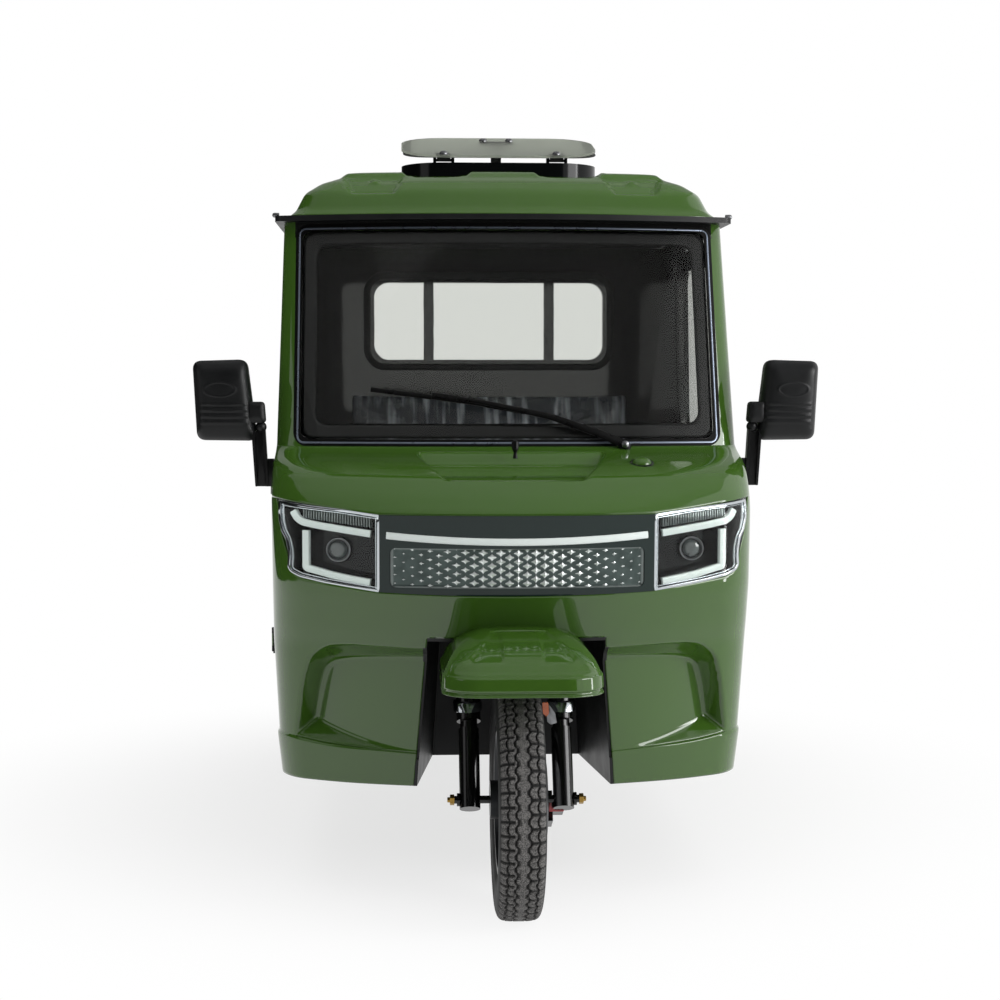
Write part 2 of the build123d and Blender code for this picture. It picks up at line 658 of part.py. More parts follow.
def interior_pieces():
    """Bench seat on the seat box, and the dashboard shelf with its panel down to the knees."""
    back = CAB_REAR - REAR_WALL
    nodes = {}
    cushion_top = SEAT_BASE_TOP + CUSHION_THICKNESS
    cushion = block(-SEAT_HALF, SEAT_HALF, SEAT_FRONT_Y, back - 4, SEAT_BASE_TOP, cushion_top)
    low = cushion_top + SEAT_SPLIT
    side = [
        (back - 30 - BACKREST_THICKNESS, low),
        (back, low),
        (back, BACKREST_TOP),
        (back - 60, BACKREST_TOP),
    ]
    rest = side_prism(outline(side), -SEAT_HALF, SEAT_HALF)
    nodes["bench_seat"] = [
        fillet(cushion.edges().filter_by(Axis.X), 24),
        fillet(rest.edges().filter_by(Axis.X).sort_by(Axis.Z)[-2:], 18),
    ]
    face_y = WELL_REAR_Y + 40
    shelf = block(-DASH_HALF, DASH_HALF, DASH_FRONT_Y, face_y + 20, DASH_TOP_Z - 18, DASH_TOP_Z)
    face = block(-DASH_HALF, DASH_HALF, face_y, face_y + 20, DASH_LOW_Z, DASH_TOP_Z)
    hole = rod(on_steering_axis(DASH_TOP_Z - 90), on_steering_axis(DASH_TOP_Z + 90), 46)
    body = cab_body(PANEL, 0, len(CAB_SECTIONS) - 1, CAB_REAR + 60)
    nodes["dashboard"] = ((shelf + face) & body) - hole - Pos(0, 14, 0) * hole
    return nodes


def rail_solid(grow=0):
    """Right-hand frame rail, low under the cab and raised under the bed, with its faces moved out."""
    h = RAIL_HEIGHT / 2 + grow
    front, rear = RAIL_FRONT_Y, BED_REAR_Y - 50
    side = [
        (front, CAB_RAIL_Z - h),
        (KICK_FRONT_Y + grow, CAB_RAIL_Z - h),
        (KICK_REAR_Y + grow, BED_RAIL_Z - h),
        (rear, BED_RAIL_Z - h),
        (rear, BED_RAIL_Z + h),
        (KICK_REAR_Y - 20 - grow, BED_RAIL_Z + h),
        (KICK_FRONT_Y - 20 - grow, CAB_RAIL_Z + h),
        (front, CAB_RAIL_Z + h),
    ]
    return side_prism(outline(side), RAIL_X - RAIL_WIDTH / 2 - grow, RAIL_X + RAIL_WIDTH / 2 + grow)


def neck_post(grow=0):
    """Post that carries the steering head from the first cross-member up behind the wheel well."""
    y0 = WELL_REAR_Y + WELL_WALL
    return block(-24 - grow, 24 + grow, y0, y0 + 32 + grow, CAB_RAIL_Z - 22, WELL_TOP_Z + 60)


def steering_head():
    """Head tube on its neck, bored for the steering stem."""
    foot = on_steering_axis(crown_centre().Z + 28)
    top = foot + UP_AXIS * HEAD_TUBE_LENGTH
    tube = rod(foot, top, HEAD_TUBE_RADIUS - 2)
    mid = foot + UP_AXIS * (HEAD_TUBE_LENGTH * 0.8)
    neck = block(-24, 24, mid.Y + 6, WELL_REAR_Y + 20, WELL_TOP_Z + WELL_WALL, WELL_TOP_Z + 60)
    bore = rod(foot - UP_AXIS * 50, top + UP_AXIS * 50, STEM_RADIUS + HEAD_CLEARANCE)
    return (tube + neck + neck_post()) - bore


def crown_centre():
    """Where the steering axis meets the fork crown."""
    axle = Vector(0, FRONT_AXLE_Y, TYRE_RADIUS)
    return axle + UP_AXIS * CROWN_ABOVE_AXLE + BACK_AXIS * AXIS_OFFSET


def steering_pieces():
    """Fork with its stem and brake caliper, and the handlebar with its grips and instrument pod."""
    axle = Vector(0, FRONT_AXLE_Y, TYRE_RADIUS)
    nodes = {}
    crown_mid = axle + UP_AXIS * CROWN_ABOVE_AXLE
    legs = []
    for x in (-LEG_X, LEG_X):
        foot = axle + Vector(x, 0, 0) - UP_AXIS * 22
        legs.append(rod(foot, foot + UP_AXIS * 190, LEG_RADIUS))
        legs.append(rod(foot + UP_AXIS * 150, foot + UP_AXIS * (CROWN_ABOVE_AXLE + 36), LEG_RADIUS - 4))
        legs.append(rod(foot + UP_AXIS * 208, foot + UP_AXIS * 300, LEG_RADIUS + 4))
    plane = Plane(origin=crown_mid - UP_AXIS * (CROWN_THICKNESS / 2), x_dir=(1, 0, 0), z_dir=UP_AXIS)
    wide = LEG_X + LEG_RADIUS + 6
    plate = rounded([(-wide, -34), (wide, -34), (wide, 30), (60, 76), (-60, 76), (-wide, 30)], 12)
    crown = extrude(plane * plate, amount=CROWN_THICKNESS)
    bar_centre = on_steering_axis(BAR_HEIGHT)
    stem = rod(crown_centre(), bar_centre, STEM_RADIUS)
    pin = rod((-LEG_X - 36, FRONT_AXLE_Y, TYRE_RADIUS), (LEG_X + 36, FRONT_AXLE_Y, TYRE_RADIUS), 9)
    fork = crown + legs + stem + pin
    for x in (-LEG_X - 30, LEG_X + 24):
        fork += rod((x, FRONT_AXLE_Y, TYRE_RADIUS), (x + 6, FRONT_AXLE_Y, TYRE_RADIUS), 15)

    # The caliper bridges the disc behind the right-hand leg and bolts to that leg
    cal = axle + Vector(DISC_X, 0, 0) + BACK_AXIS * 80 - UP_AXIS * 4
    plane = Plane(origin=cal, x_dir=(1, 0, 0), z_dir=UP_AXIS)
    body = extrude(plane * Rectangle(44, 60), amount=36, both=True)
    slot = extrude(plane * Pos(0, -12) * Rectangle(14, 64), amount=60, both=True)
    lug = extrude(plane * Pos(32, -35) * Rectangle(30, 80), amount=14, both=True)
    nodes["fork"] = fork + (body - slot) + lug

    clamp = block(-32, 32, bar_centre.Y - 26, bar_centre.Y + 26, BAR_HEIGHT + 0.2, BAR_HEIGHT + 34)
    middle = bar_centre + Vector(0, 0, 18)
    half = BAR_HALF_SPAN - GRIP_LENGTH
    path = [
        middle,
        middle + Vector(80, 6, 0),
        middle + Vector(half - 60, BAR_SWEEP * 0.42, 14),
        middle + Vector(BAR_HALF_SPAN, BAR_SWEEP, 0),
    ]
    pieces = [rod(a, b, BAR_RADIUS) for a, b in zip(path, path[1:])]
    pieces += [Pos(*p) * Sphere(BAR_RADIUS) for p in path[1:3]]
    right = pieces[0]
    for p in pieces[1:]:
        right += p
    run = (path[3] - path[2]).normalized()
    grip_start = path[3] - run * GRIP_LENGTH
    right += rod(grip_start, path[3], GRIP_RADIUS)
    pod = block(-58, 58, bar_centre.Y - 12, bar_centre.Y + 58, BAR_HEIGHT + 30, BAR_HEIGHT + 78)
    pod = fillet(pod.edges().filter_by(Axis.X), 14)
    nodes["handlebar"] = (right + mirror(right, about=Plane.YZ) + clamp + pod) - fork

    return nodes


def tyre(x, y):
    """Tyre of revolution: crowned tread, round shoulders and a bead that sits on the rim."""
    right = [(TYRE_WIDTH / 2 - inward, TYRE_RADIUS - deep) for inward, deep in TYRE_PROFILE]
    left = [(-across, radius) for across, radius in reversed(right)]
    profile = Plane.XZ * outline(right + left)
    return Pos(x, y, TYRE_RADIUS) * revolve(profile, Axis.X)


def rim(x, y, hub_half):
    """Pressed wheel: a flanged barrel with a sunk well, broad spokes with gaps between them, and the hub."""
    inward, deep = TYRE_PROFILE[-1]
    half, seat = TYRE_WIDTH / 2 - inward, TYRE_RADIUS - deep
    out, lip = half + 6, seat + RIM_FLANGE
    right = [(18, seat - 26), (out, seat - 8), (out, lip), (half, lip), (half, seat)]
    left = [(-across, radius) for across, radius in reversed(right)]
    ring = revolve(Plane.XZ * outline(right + left), Axis.X)
    place = Plane(origin=(0, 0, 0), x_dir=(0, 1, 0), z_dir=(1, 0, 0))
    disc = extrude(place * Circle(seat - 20), amount=9, both=True)
    spoke_gap = Pos(0, 92) * Rectangle(62, 66)
    gap = extrude(place * fillet(spoke_gap.vertices(), 18), amount=20, both=True)
    for k in range(SPOKES):
        disc -= Rot(360 / SPOKES * k, 0, 0) * gap
    hub = extrude(place * Circle(44), amount=hub_half, both=True)
    return Pos(x, y, TYRE_RADIUS) * (ring + disc + hub)


def wheel_pieces():
    """Three wheels, each a tyre on a rim; the front one carries the brake disc."""
    nodes = {}
    pin = 9
    bore = rod((-200, FRONT_AXLE_Y, TYRE_RADIUS), (200, FRONT_AXLE_Y, TYRE_RADIUS), pin + WHEEL_GAP)
    nodes["front_tyre"] = tyre(0, FRONT_AXLE_Y)
    nodes["front_rim"] = rim(0, FRONT_AXLE_Y, DISC_X - 2) - bore
    disc = rod((DISC_X - 2, FRONT_AXLE_Y, TYRE_RADIUS), (DISC_X + 2, FRONT_AXLE_Y, TYRE_RADIUS), DISC_RADIUS)
    nodes["front_brake_disc"] = disc - bore
    for name, side in (("left", 1), ("right", -1)):
        x = side * REAR_TRACK / 2
        nodes["rear_tyre_" + name] = tyre(x, REAR_AXLE_Y)
        drum_far = x - side * (TYRE_WIDTH / 2 + 14)
        drum = rod((x, REAR_AXLE_Y, TYRE_RADIUS), (drum_far, REAR_AXLE_Y, TYRE_RADIUS), 92)
        stub = rod((x - side * 200, REAR_AXLE_Y, TYRE_RADIUS), (x, REAR_AXLE_Y, TYRE_RADIUS), 17 + WHEEL_GAP)
        nodes["rear_rim_" + name] = rim(x, REAR_AXLE_Y, 50) + drum - stub
    return nodes


def chassis_pieces():
    """Ladder frame with the steering head, rear axle with its motor, springs, mudguards and battery box."""
    nodes = {}
    h = RAIL_HEIGHT / 2
    inner = RAIL_X - RAIL_WIDTH / 2
    frame = rail_solid() + mirror(rail_solid(), about=Plane.YZ) + steering_head()
    for y, deep in LOW_MEMBERS:
        z = CAB_RAIL_Z if y < KICK_FRONT_Y else BED_RAIL_Z
        frame += block(-inner, inner, y - deep / 2, y + deep / 2, z - 22, z + 22)
    for y, reach in BED_BEAMS:
        half = BED_BEAM_WIDTH / 2
        frame += block(-reach, reach, y - half, y + half, RAIL_TOP, BED_FLOOR_Z - BED_FLOOR)
    nodes["chassis_frame"] = frame

    axle_z = TYRE_RADIUS
    reach = REAR_TRACK / 2 - TYRE_WIDTH / 2 - 20
    axle = rod((-reach, REAR_AXLE_Y, axle_z), (reach, REAR_AXLE_Y, axle_z), AXLE_TUBE_RADIUS)
    axle += rod((-55, REAR_AXLE_Y, axle_z), (55, REAR_AXLE_Y, axle_z), DIFF_RADIUS)
    shaft = REAR_TRACK / 2
    axle += rod((-shaft, REAR_AXLE_Y, axle_z), (shaft, REAR_AXLE_Y, axle_z), 17)
    motor_y, motor_z = REAR_AXLE_Y - 60, axle_z + 10
    axle += rod((50, motor_y, motor_z), (50 + MOTOR_LENGTH, motor_y, motor_z), MOTOR_RADIUS)
    nodes["drive_axle"] = axle

    low = axle_z + AXLE_TUBE_RADIUS
    y0, y1 = REAR_AXLE_Y - SPRING_HALF, REAR_AXLE_Y + SPRING_HALF
    rise = SPRING_DROP
    end_low, end_high = low + rise, low + rise + SPRING_THICKNESS / 2
    leaf = [
        ThreePointArc((y0, end_low), (REAR_AXLE_Y, low), (y1, end_low)),
        Line((y1, end_low), (y1, end_high)),
        ThreePointArc((y1, end_high), (REAR_AXLE_Y, low + SPRING_THICKNESS), (y0, end_high)),
        Line((y0, end_high), (y0, end_low)),
    ]
    inner_x = RAIL_X - SPRING_WIDTH / 2
    spring = side_prism(make_face(leaf), inner_x, inner_x + SPRING_WIDTH)
    pad = block(inner_x, inner_x + SPRING_WIDTH, REAR_AXLE_Y - 45, REAR_AXLE_Y + 45, low - 20, low + 10)
    pad -= rod((-reach, REAR_AXLE_Y, axle_z), (reach, REAR_AXLE_Y, axle_z), AXLE_TUBE_RADIUS)
    rail_low = BED_RAIL_Z - h
    for y in (y0 + 16, y1 - 16):
        spring += block(inner_x, inner_x + SPRING_WIDTH, y - 16, y + 16, low + rise - 4, rail_low)
    nodes["leaf_springs"] = mirrored(spring + pad)

    radius = TYRE_RADIUS + GUARD_CLEARANCE
    track = REAR_TRACK / 2
    ring = Plane(origin=(track - GUARD_WIDTH / 2, REAR_AXLE_Y, axle_z), x_dir=(0, 1, 0), z_dir=(1, 0, 0))
    guard = extrude(ring * Circle(radius + GUARD_THICKNESS), amount=GUARD_WIDTH)
    guard -= extrude(ring * Circle(radius), amount=GUARD_WIDTH)
    guard &= block(0, 800, REAR_AXLE_Y - 700, REAR_AXLE_Y + 700, axle_z + 120, 1200)
    top = BED_FLOOR_Z - BED_FLOOR
    hanger = block(track - 30, track + 30, REAR_AXLE_Y - 90, REAR_AXLE_Y - 30, axle_z + radius, top)
    guard += hanger - extrude(ring * Circle(radius), amount=GUARD_WIDTH)
    nodes["rear_mudguards"] = mirrored(guard)

    box_top = BED_RAIL_Z - 22
    box = block(-BATTERY_HALF, BATTERY_HALF, BATTERY_FRONT_Y, BATTERY_REAR_Y, CAB_RAIL_Z - 10, box_top)
    nodes["battery_box"] = box
    return nodes


def bed_pieces():
    """Open bed: floor, ribbed sides, headboard and a tailgate hinged along its lower edge."""
    nodes = {}
    rear = BED_REAR_Y
    low, high = BED_FLOOR_Z, BED_TOP_Z
    wall_in = BED_HALF - BED_WALL
    foot, end = low - BED_FLOOR, rear - BED_WALL - TAILGATE_GAP
    floor = block(-wall_in, wall_in, BED_FRONT_Y + BED_WALL, end, foot, low)
    hinge_y, hinge_z = rear - GATE_HINGE_IN, low - BED_FLOOR - GATE_HINGE_DROP
    outer, pin, half = GATE_HINGE_RADIUS, HINGE_PIN_RADIUS, GATE_HINGE_HALF
    knuckles = []
    for x in (-GATE_HINGE_X, GATE_HINGE_X):
        for ear_x in (x - half - 8, x + half + 1):
            floor += rod((ear_x, hinge_y, hinge_z), (ear_x + 7, hinge_y, hinge_z), outer)
            floor += block(ear_x, ear_x + 7, rear - 70, hinge_y, hinge_z - outer, hinge_z + 4)
            floor += block(ear_x, ear_x + 7, rear - 70, rear - 40, hinge_z, low - BED_FLOOR)
        floor += rod((x - half - 4, hinge_y, hinge_z), (x + half + 4, hinge_y, hinge_z), pin)
        barrel = rod((x - half, hinge_y, hinge_z), (x + half, hinge_y, hinge_z), outer)
        barrel += block(x - half, x + half, hinge_y - 6, hinge_y + 6, hinge_z, low - BED_FLOOR)
        bore = rod((x - 99, hinge_y, hinge_z), (x + 99, hinge_y, hinge_z), pin + HINGE_PIN_CLEARANCE)
        knuckles.append(barrel - bore)
    nodes["bed_floor"] = floor
    side = block(wall_in, BED_HALF - BED_RIB, BED_FRONT_Y, end, foot, high)
    side += block(wall_in, BED_HALF, BED_FRONT_Y, end, high - 34, high)
    side += block(wall_in, BED_HALF, BED_FRONT_Y, end, foot, low + 30)
    count = 9
    pitch = (BED_LENGTH - BED_WALL - TAILGATE_GAP - 60) / (count - 1)
    for k in range(count):
        y = BED_FRONT_Y + 30 + k * pitch
        side += block(wall_in, BED_HALF - 2, y - 24, y + 24, low + 20, high - 20)
    head = block(-wall_in - 2, wall_in + 2, BED_FRONT_Y, BED_FRONT_Y + BED_WALL, foot, high)
    nodes["bed_walls"] = side + mirror(side, about=Plane.YZ) + head

    gate_y = rear - BED_WALL
    gate = block(-BED_HALF, BED_HALF, gate_y, gate_y + BED_WALL - BED_RIB, low - BED_FLOOR, high)
    gate += block(-BED_HALF, BED_HALF, gate_y, rear, high - 34, high)
    gate += block(-BED_HALF, BED_HALF, gate_y, rear, low - BED_FLOOR, low + 25)
    gate_count = 7
    for k in range(gate_count):
        x = -BED_HALF + 40 + k * (2 * BED_HALF - 80) / (gate_count - 1)
        gate += block(x - 26, x + 26, gate_y, rear - 2, low, high - 20)
    nodes["tailgate"] = gate + knuckles

    bumper_low, bumper_y = BED_RAIL_Z - 24, BED_REAR_Y - 50
    bumper = block(-BED_HALF + 20, BED_HALF - 20, bumper_y, bumper_y + 30, bumper_low, bumper_low + 62)
    plate = block(-90, 90, bumper_y + 30, bumper_y + 34, bumper_low - 70, bumper_low + 40)
    for x in (-70, 70):
        plate -= rod((x, bumper_y, bumper_low - 50), (x, bumper_y + 60, bumper_low - 50), 3.5)
    nodes["rear_bumper"] = bumper + plate
    lamp = block(330, 500, bumper_y + 30, bumper_y + 46, bumper_low + 4, bumper_low + 58)
    nodes["tail_lamps"] = mirrored(lamp)
    return nodes


def mirror_pieces():
    """Mirror brackets on the cab's flanks and the moulded mirror heads."""
    x = CAB_SECTIONS[-2][1]
    y = MIRROR_BRACKET_Y
    low, high = MIRROR_BRACKET_LOW, MIRROR_BRACKET_HIGH
    bracket = block(x - 20, x + 30, y - 14, y + 14, low, low + 70)
    bracket -= cab_body()
    arm = front_prism(
        outline([(x + 16, low), (x + 50, low), (x + 58, high), (x + 26, high)]),
        y - 14,
        y + 14,
    )
    bracket += arm
    neck_z = high - 30
    bracket += block(x + 30, MIRROR_HEAD_INNER + 40, y - 14, y + 14, neck_z, high)
    inner, outer = MIRROR_HEAD_INNER, MIRROR_HEAD_OUTER
    low, high = MIRROR_HEAD_LOW, MIRROR_HEAD_HIGH
    face = rounded([(inner + 22, low), (outer - 16, low), (outer, high), (inner + 30, high)], 26)
    head = front_prism(face, y - MIRROR_HEAD_DEPTH / 2, y + MIRROR_HEAD_DEPTH / 2)
    head = fillet(head.faces().sort_by(Axis.Y)[0].edges(), 20)
    return {"mirrors": mirrored(bracket + head)}


def screen_point(x, z, out):
    """Point on the windscreen's outer face, moved out along Y."""
    foot, head = CAB_SECTIONS[-2], CAB_SECTIONS[-1]
    nose = foot[2] + (z - foot[0]) / (head[0] - foot[0]) * (head[2] - foot[2])
    return Vector(x, nose + foot[3] - math.sqrt(foot[3] ** 2 - x**2) - out, z)


def wiper_piece():
    """Wiper: pivot boss, tapered arm and the blade lying on the glass."""
    (px, pz), (tx, tz), (jx, jz) = WIPER_PIVOT, WIPER_TIP, WIPER_JOINT
    boss = rod(screen_point(px, pz - 30, -6), screen_point(px, pz - 30, 34), 15)
    arm = rod(screen_point(px, pz - 30, 26), screen_point(jx, jz, 22), 7)
    share = 0.45
    far = (px + (jx - px) * share, pz + (jz - pz) * share)
    blade_end = screen_point(far[0], far[1] + 4, 10)
    blade_mid = screen_point(jx, jz - 4, 10)
    blade = rod(screen_point(tx, tz, 10), blade_mid, 6) + rod(blade_mid, blade_end, 6)
    link = rod(screen_point(jx, jz - 4, 8), screen_point(jx, jz, 26), 9)
    return boss + arm + blade + link - cab_body()


def build():
    """Every node by name, each a solid or a list of solids."""
    nodes = {}
    nodes.update(cab_pieces())
    nodes["front_mudguard"] = mudguard()
    nodes.update(roof_pieces())
    nodes.update(interior_pieces())
    nodes.update(steering_pieces())
    nodes.update(wheel_pieces())
    nodes.update(chassis_pieces())
    nodes.update(bed_pieces())
    nodes.update(mirror_pieces())
    nodes["wiper"] = wiper_piece()
    return nodes


def solids_of(node):
    """Flat list of the solids in a node."""
    if isinstance(node, (list, ShapeList, tuple)):
        return [s for part in node for s in solids_of(part)]
    return list(node.solids())


def export(nodes):
    """Writes each node to parts/, moved so that the whole stands centred on the floor."""
    os.makedirs("parts", exist_ok=True)
    for name, node in nodes.items():
        shape = Compound(children=[Pos(0, -OVERALL / 2, 0) * s for s in solids_of(node)])
        export_step(shape, f"parts/{name}.step")


def main():
    export(build())


if __name__ == "__main__":
    main()
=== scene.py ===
import json
import math

import bpy
import numpy as np
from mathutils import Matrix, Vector


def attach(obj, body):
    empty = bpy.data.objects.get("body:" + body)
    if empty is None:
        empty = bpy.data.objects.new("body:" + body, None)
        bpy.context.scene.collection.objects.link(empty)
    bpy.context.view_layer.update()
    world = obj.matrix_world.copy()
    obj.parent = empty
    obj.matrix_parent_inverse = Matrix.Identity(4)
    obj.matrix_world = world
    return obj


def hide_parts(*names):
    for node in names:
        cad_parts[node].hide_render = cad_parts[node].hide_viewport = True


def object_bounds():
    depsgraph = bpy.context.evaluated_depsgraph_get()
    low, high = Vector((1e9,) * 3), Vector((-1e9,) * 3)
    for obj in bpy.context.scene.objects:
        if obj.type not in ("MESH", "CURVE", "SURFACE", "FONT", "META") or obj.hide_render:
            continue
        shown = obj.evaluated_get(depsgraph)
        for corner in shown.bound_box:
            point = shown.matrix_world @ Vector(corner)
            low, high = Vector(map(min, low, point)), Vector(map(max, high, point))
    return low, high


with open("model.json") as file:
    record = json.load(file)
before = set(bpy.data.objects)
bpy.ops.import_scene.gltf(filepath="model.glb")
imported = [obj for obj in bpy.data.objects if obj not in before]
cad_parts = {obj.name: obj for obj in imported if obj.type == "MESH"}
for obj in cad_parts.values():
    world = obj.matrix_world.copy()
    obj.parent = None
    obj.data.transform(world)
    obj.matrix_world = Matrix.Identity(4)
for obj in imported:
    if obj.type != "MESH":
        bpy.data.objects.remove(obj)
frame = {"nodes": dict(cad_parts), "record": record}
CAD_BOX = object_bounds()

# Lengths are millimetres, with X across, Z up and Y measured from the nose backwards.
# placed() turns them into the frame's metres.
HALF_LENGTH = -CAD_BOX[0].y * 1000

# Camera: focal length in pixels of a 1000 px picture, point where lines along Y meet, place of the eye
FOCAL_PX = 1920
VANISH_PX = (405, 385)
EYE = (-254.6, -4055, 1227)

# Cab sections: height, half width, nose station on the centre line, bow radius of the front, corner radius
SECTIONS = np.array(
    [
        (230, 546, 409, 1000, 114),
        (284, 552, 397, 1000, 120),
        (380, 562, 375, 1000, 130),
        (620, 572, 316, 1000, 160),
        (662, 571, 290, 1000, 165),
        (755, 570, 245, 1000, 180),
        (933, 571, 235, 1000, 180),
        (975, 572, 277, 1100, 165),
        (1022, 572, 352, 1300, 140),
        (1048, 572, 450, 1550, 105),
        (1070, 573, 600, 1900, 70),
        (1130, 572, 621, 1900, 69),
    ],
    float,
)
# Height over which the edges between sections are rounded
ROUNDING = 14
# Station of the door's front edge, and the cab's half width there
DOOR_EDGE = 757
CAB_HALF = 572
# Nose: its lowest and highest edge, where the corner starts, and the columns of its grid up to there
NOSE_LOW, NOSE_HIGH = 284, 1078
NOSE_BEND = 530
COLUMNS = 70
# Inner edge beside the wheel well: half width 200 mm up, and how far it draws in up to the well's top
WELL_HALF, WELL_DRAW = 244, 39

# Bumper lobes: the band's upper lip, the rim of the scoop, its wall, ledge and floor
LIP_X = (0, 245, 300, 447, 509, 560)
LIP_Z = (364, 366, 370, 380, 389, 392)
RIM_X = (520, 518, 515, 508, 501, 494, 486, 476, 463, 448, 430, 400, 375, 245, 60)
RIM_Z = (300, 380, 415, 470, 516, 550, 577, 594, 606, 616, 623, 626, 627, 623, 620)
WALL_SLOPE = 1.3
LEDGE_SLOPE = 0.97
# Floor of the scoop at two heights: places across, stations
FLOOR_LOW = (432, (60, 300, 472), (402, 425, 540))
FLOOR_HIGH = (545, (60, 300, 450), (385, 415, 508))
BAND_PROUD = 5
WELL_TOP = 648

# Lamp strip: lower and upper edge of its opening, by distance from the centre line
STRIP_X = (0, 160, 315, 490, 512, 523, 529, 543, 549, 552)
STRIP_LOW = (751, 752.5, 757, 782, 790, 806, 840, 880, 925, 962)
STRIP_TOP_X = (0, 315, 552)
STRIP_TOP = (933, 933, 963)

# Headlamp: its outline from the front, and the middle of the low-beam unit
LAMP_OUTLINE = [
    (314, 757), (381, 766), (439, 774), (498, 785), (521, 795), (528, 806), (526, 830), (527, 848),
    (532, 871), (543, 890), (549, 913), (550, 936), (549, 958), (512, 954), (409, 945), (314, 933),
]
PROJECTOR_X, PROJECTOR_Z = 408, 849

# Visor: height, half width, nose station and corner radius of its plan; its lowest edge
VISOR_SECTIONS = [
    (566, 177, 0, 85), (606, 175, 4, 85), (629, 164, 32, 82), (649, 147, 78, 76), (665, 123, 135, 66),
    (677, 90, 205, 50),
]
VISOR_LOW = 560

# Roof: height over the gutter and distance in from the eaves
ROOF_PROFILE = [(0, 14), (17, 32), (62, 54), (88, 92), (106, 140), (114, 198)]
ROOF_CORNERS = [80, 90, 90, 85, 75, 60]
ROOF_BASE = 1654
# Roof's plan: half width and the stations of its front, its rear and the middle that the columns turn about
ROOF_HALF, ROOF_FRONT, ROOF_REAR, ROOF_MIDDLE = 562, 782, 1822, 1225
# Hatch glass: its plan, the pins that it turns about, the tilt that the photo shows
HATCH_FRONT, HATCH_BACK, HATCH_HALF, HATCH_CORNER = 1060, 1390, 262, 120
HATCH_PIN_Y, HATCH_PIN_Z = 1080, 1822
HATCH_TILT = math.radians(15)

# Windscreen: bow radius, station of its lower edge on the centre line, height of that edge, lean
SCREEN_BOW = 1900
SCREEN_Y, SCREEN_Z = 600, 1070
SCREEN_LEAN = 200 / 570

# Wheels: axle stations, track, tyre size, and half of the tyre's profile as distance across and radius
FRONT_AXLE_Y, REAR_AXLE_Y, REAR_TRACK = 310, 2500, 950
TYRE_RADIUS, TYRE_HALF_WIDTH = 275, 53
TYRE_PROFILE = [
    (0, 275), (12, 275), (16, 274.9), (20, 274.7), (25, 274.3), (30, 273.8), (36, 272.6), (40, 271),
    (44, 268.5), (48, 263), (51, 255), (52.6, 246), (53, 236), (52.2, 226), (50.8, 214), (50, 200),
    (47.5, 190), (43, 180), (39, 174), (39, 164),
]
# Periods of the tread's wave round the tyre
TREAD_WAVES = 54
# Fork: distance back per mm of height, and half the spacing of its cups
FORK_RAKE = math.tan(math.radians(26))
CUP_X = 110

# Seat pads, in metres: voxels, most that they swell, depth of the sewn channels
PAD_VOXEL, PAD_SWELL, CHANNEL = 0.014, 0.014, 0.009

# Cab colours, in metres of the frame: the point that outer faces look away from (faces that look towards it
# are coloured near-black as painted shade), and the black header's half width and lower edge
CAB_MIDDLE = (0, -0.32, 1.1)
HEADER_HALF, HEADER_LOW = 0.531, 1.6
# Half size of the studio's floor, in metres
FLOOR = 60.0


def linear(hex_colour):
    """sRGB hex to the linear colour that a shader takes."""
    parts = [int(hex_colour[i : i + 2], 16) / 255 for i in (1, 3, 5)]
    return [c / 12.92 if c <= 0.04045 else ((c + 0.055) / 1.055) ** 2.4 for c in parts] + [1.0]


def placed(points):
    """Millimetres from the nose to metres in the frame."""
    return (np.asarray(points, float) - np.array([0, HALF_LENGTH, 0])) / 1000


def ramp(a, b, x):
    """Smooth step: 0 before a, 1 after b, and 3t^2 - 2t^3 between."""
    t = np.clip((x - a) / (b - a), 0, 1)
    return t * t * (3 - 2 * t)


def soft_min(a, b, r):
    """Lesser of two surfaces, blended over the height r where they cross."""
    h = np.clip(0.5 + 0.5 * (b - a) / r, 0, 1)
    return b + (a - b) * h - r * h * (1 - h)


def soft_max(a, b, r):
    """Greater of two surfaces, blended over the height r where they cross."""
    return -soft_min(-a, -b, r)


def averaged(x, xs, ys, reach):
    """Broken line through the points, its corners rounded by the mean of its values within reach of x."""
    steps = np.linspace(-reach, reach, 9)
    return np.mean([np.interp(x + s, xs, ys) for s in steps], axis=0)


def section(z):
    """Half width, nose, bow radius and corner radius at height z, from the table with its edges rounded."""
    return [averaged(z, SECTIONS[:, 0], SECTIONS[:, k], ROUNDING) for k in (1, 2, 3, 4)]


def front(x, z, out=0.0):
    """Point of the cab's skin seen from the front at x, z, moved out along the plan's normal.

    The plan is an arc of the bow radius about (0, nose + bow), then an arc of the corner radius that touches
    it and the straight flank. With R the bow, c the corner and w the half width, the corner's centre lies at
    x = w - c and y = nose + R - sqrt((R - c)^2 - (w - c)^2).
    """
    x, z = np.broadcast_arrays(np.asarray(x, float), np.asarray(z, float))
    w, nose, bow, corner = section(z)
    side = np.sign(np.where(x == 0, 1, x))
    a = np.abs(x)
    touch = (w - corner) / (bow - corner)
    centre_y = nose + bow - np.sqrt((bow - corner) ** 2 - (w - corner) ** 2)
    on_bow = a <= bow * touch
    s_bow = np.clip(a / bow, 0, 1)
    s_corner = np.clip((a - (w - corner)) / corner, -1, 1)
    c_bow, c_corner = np.sqrt(1 - s_bow**2), np.sqrt(1 - s_corner**2)
    sine = np.where(on_bow, s_bow, s_corner)
    cosine = np.where(on_bow, c_bow, c_corner)
    y = np.where(on_bow, nose + bow - bow * c_bow, centre_y - corner * c_corner)
    return np.stack([x + side * sine * out, y - cosine * out, z], -1)


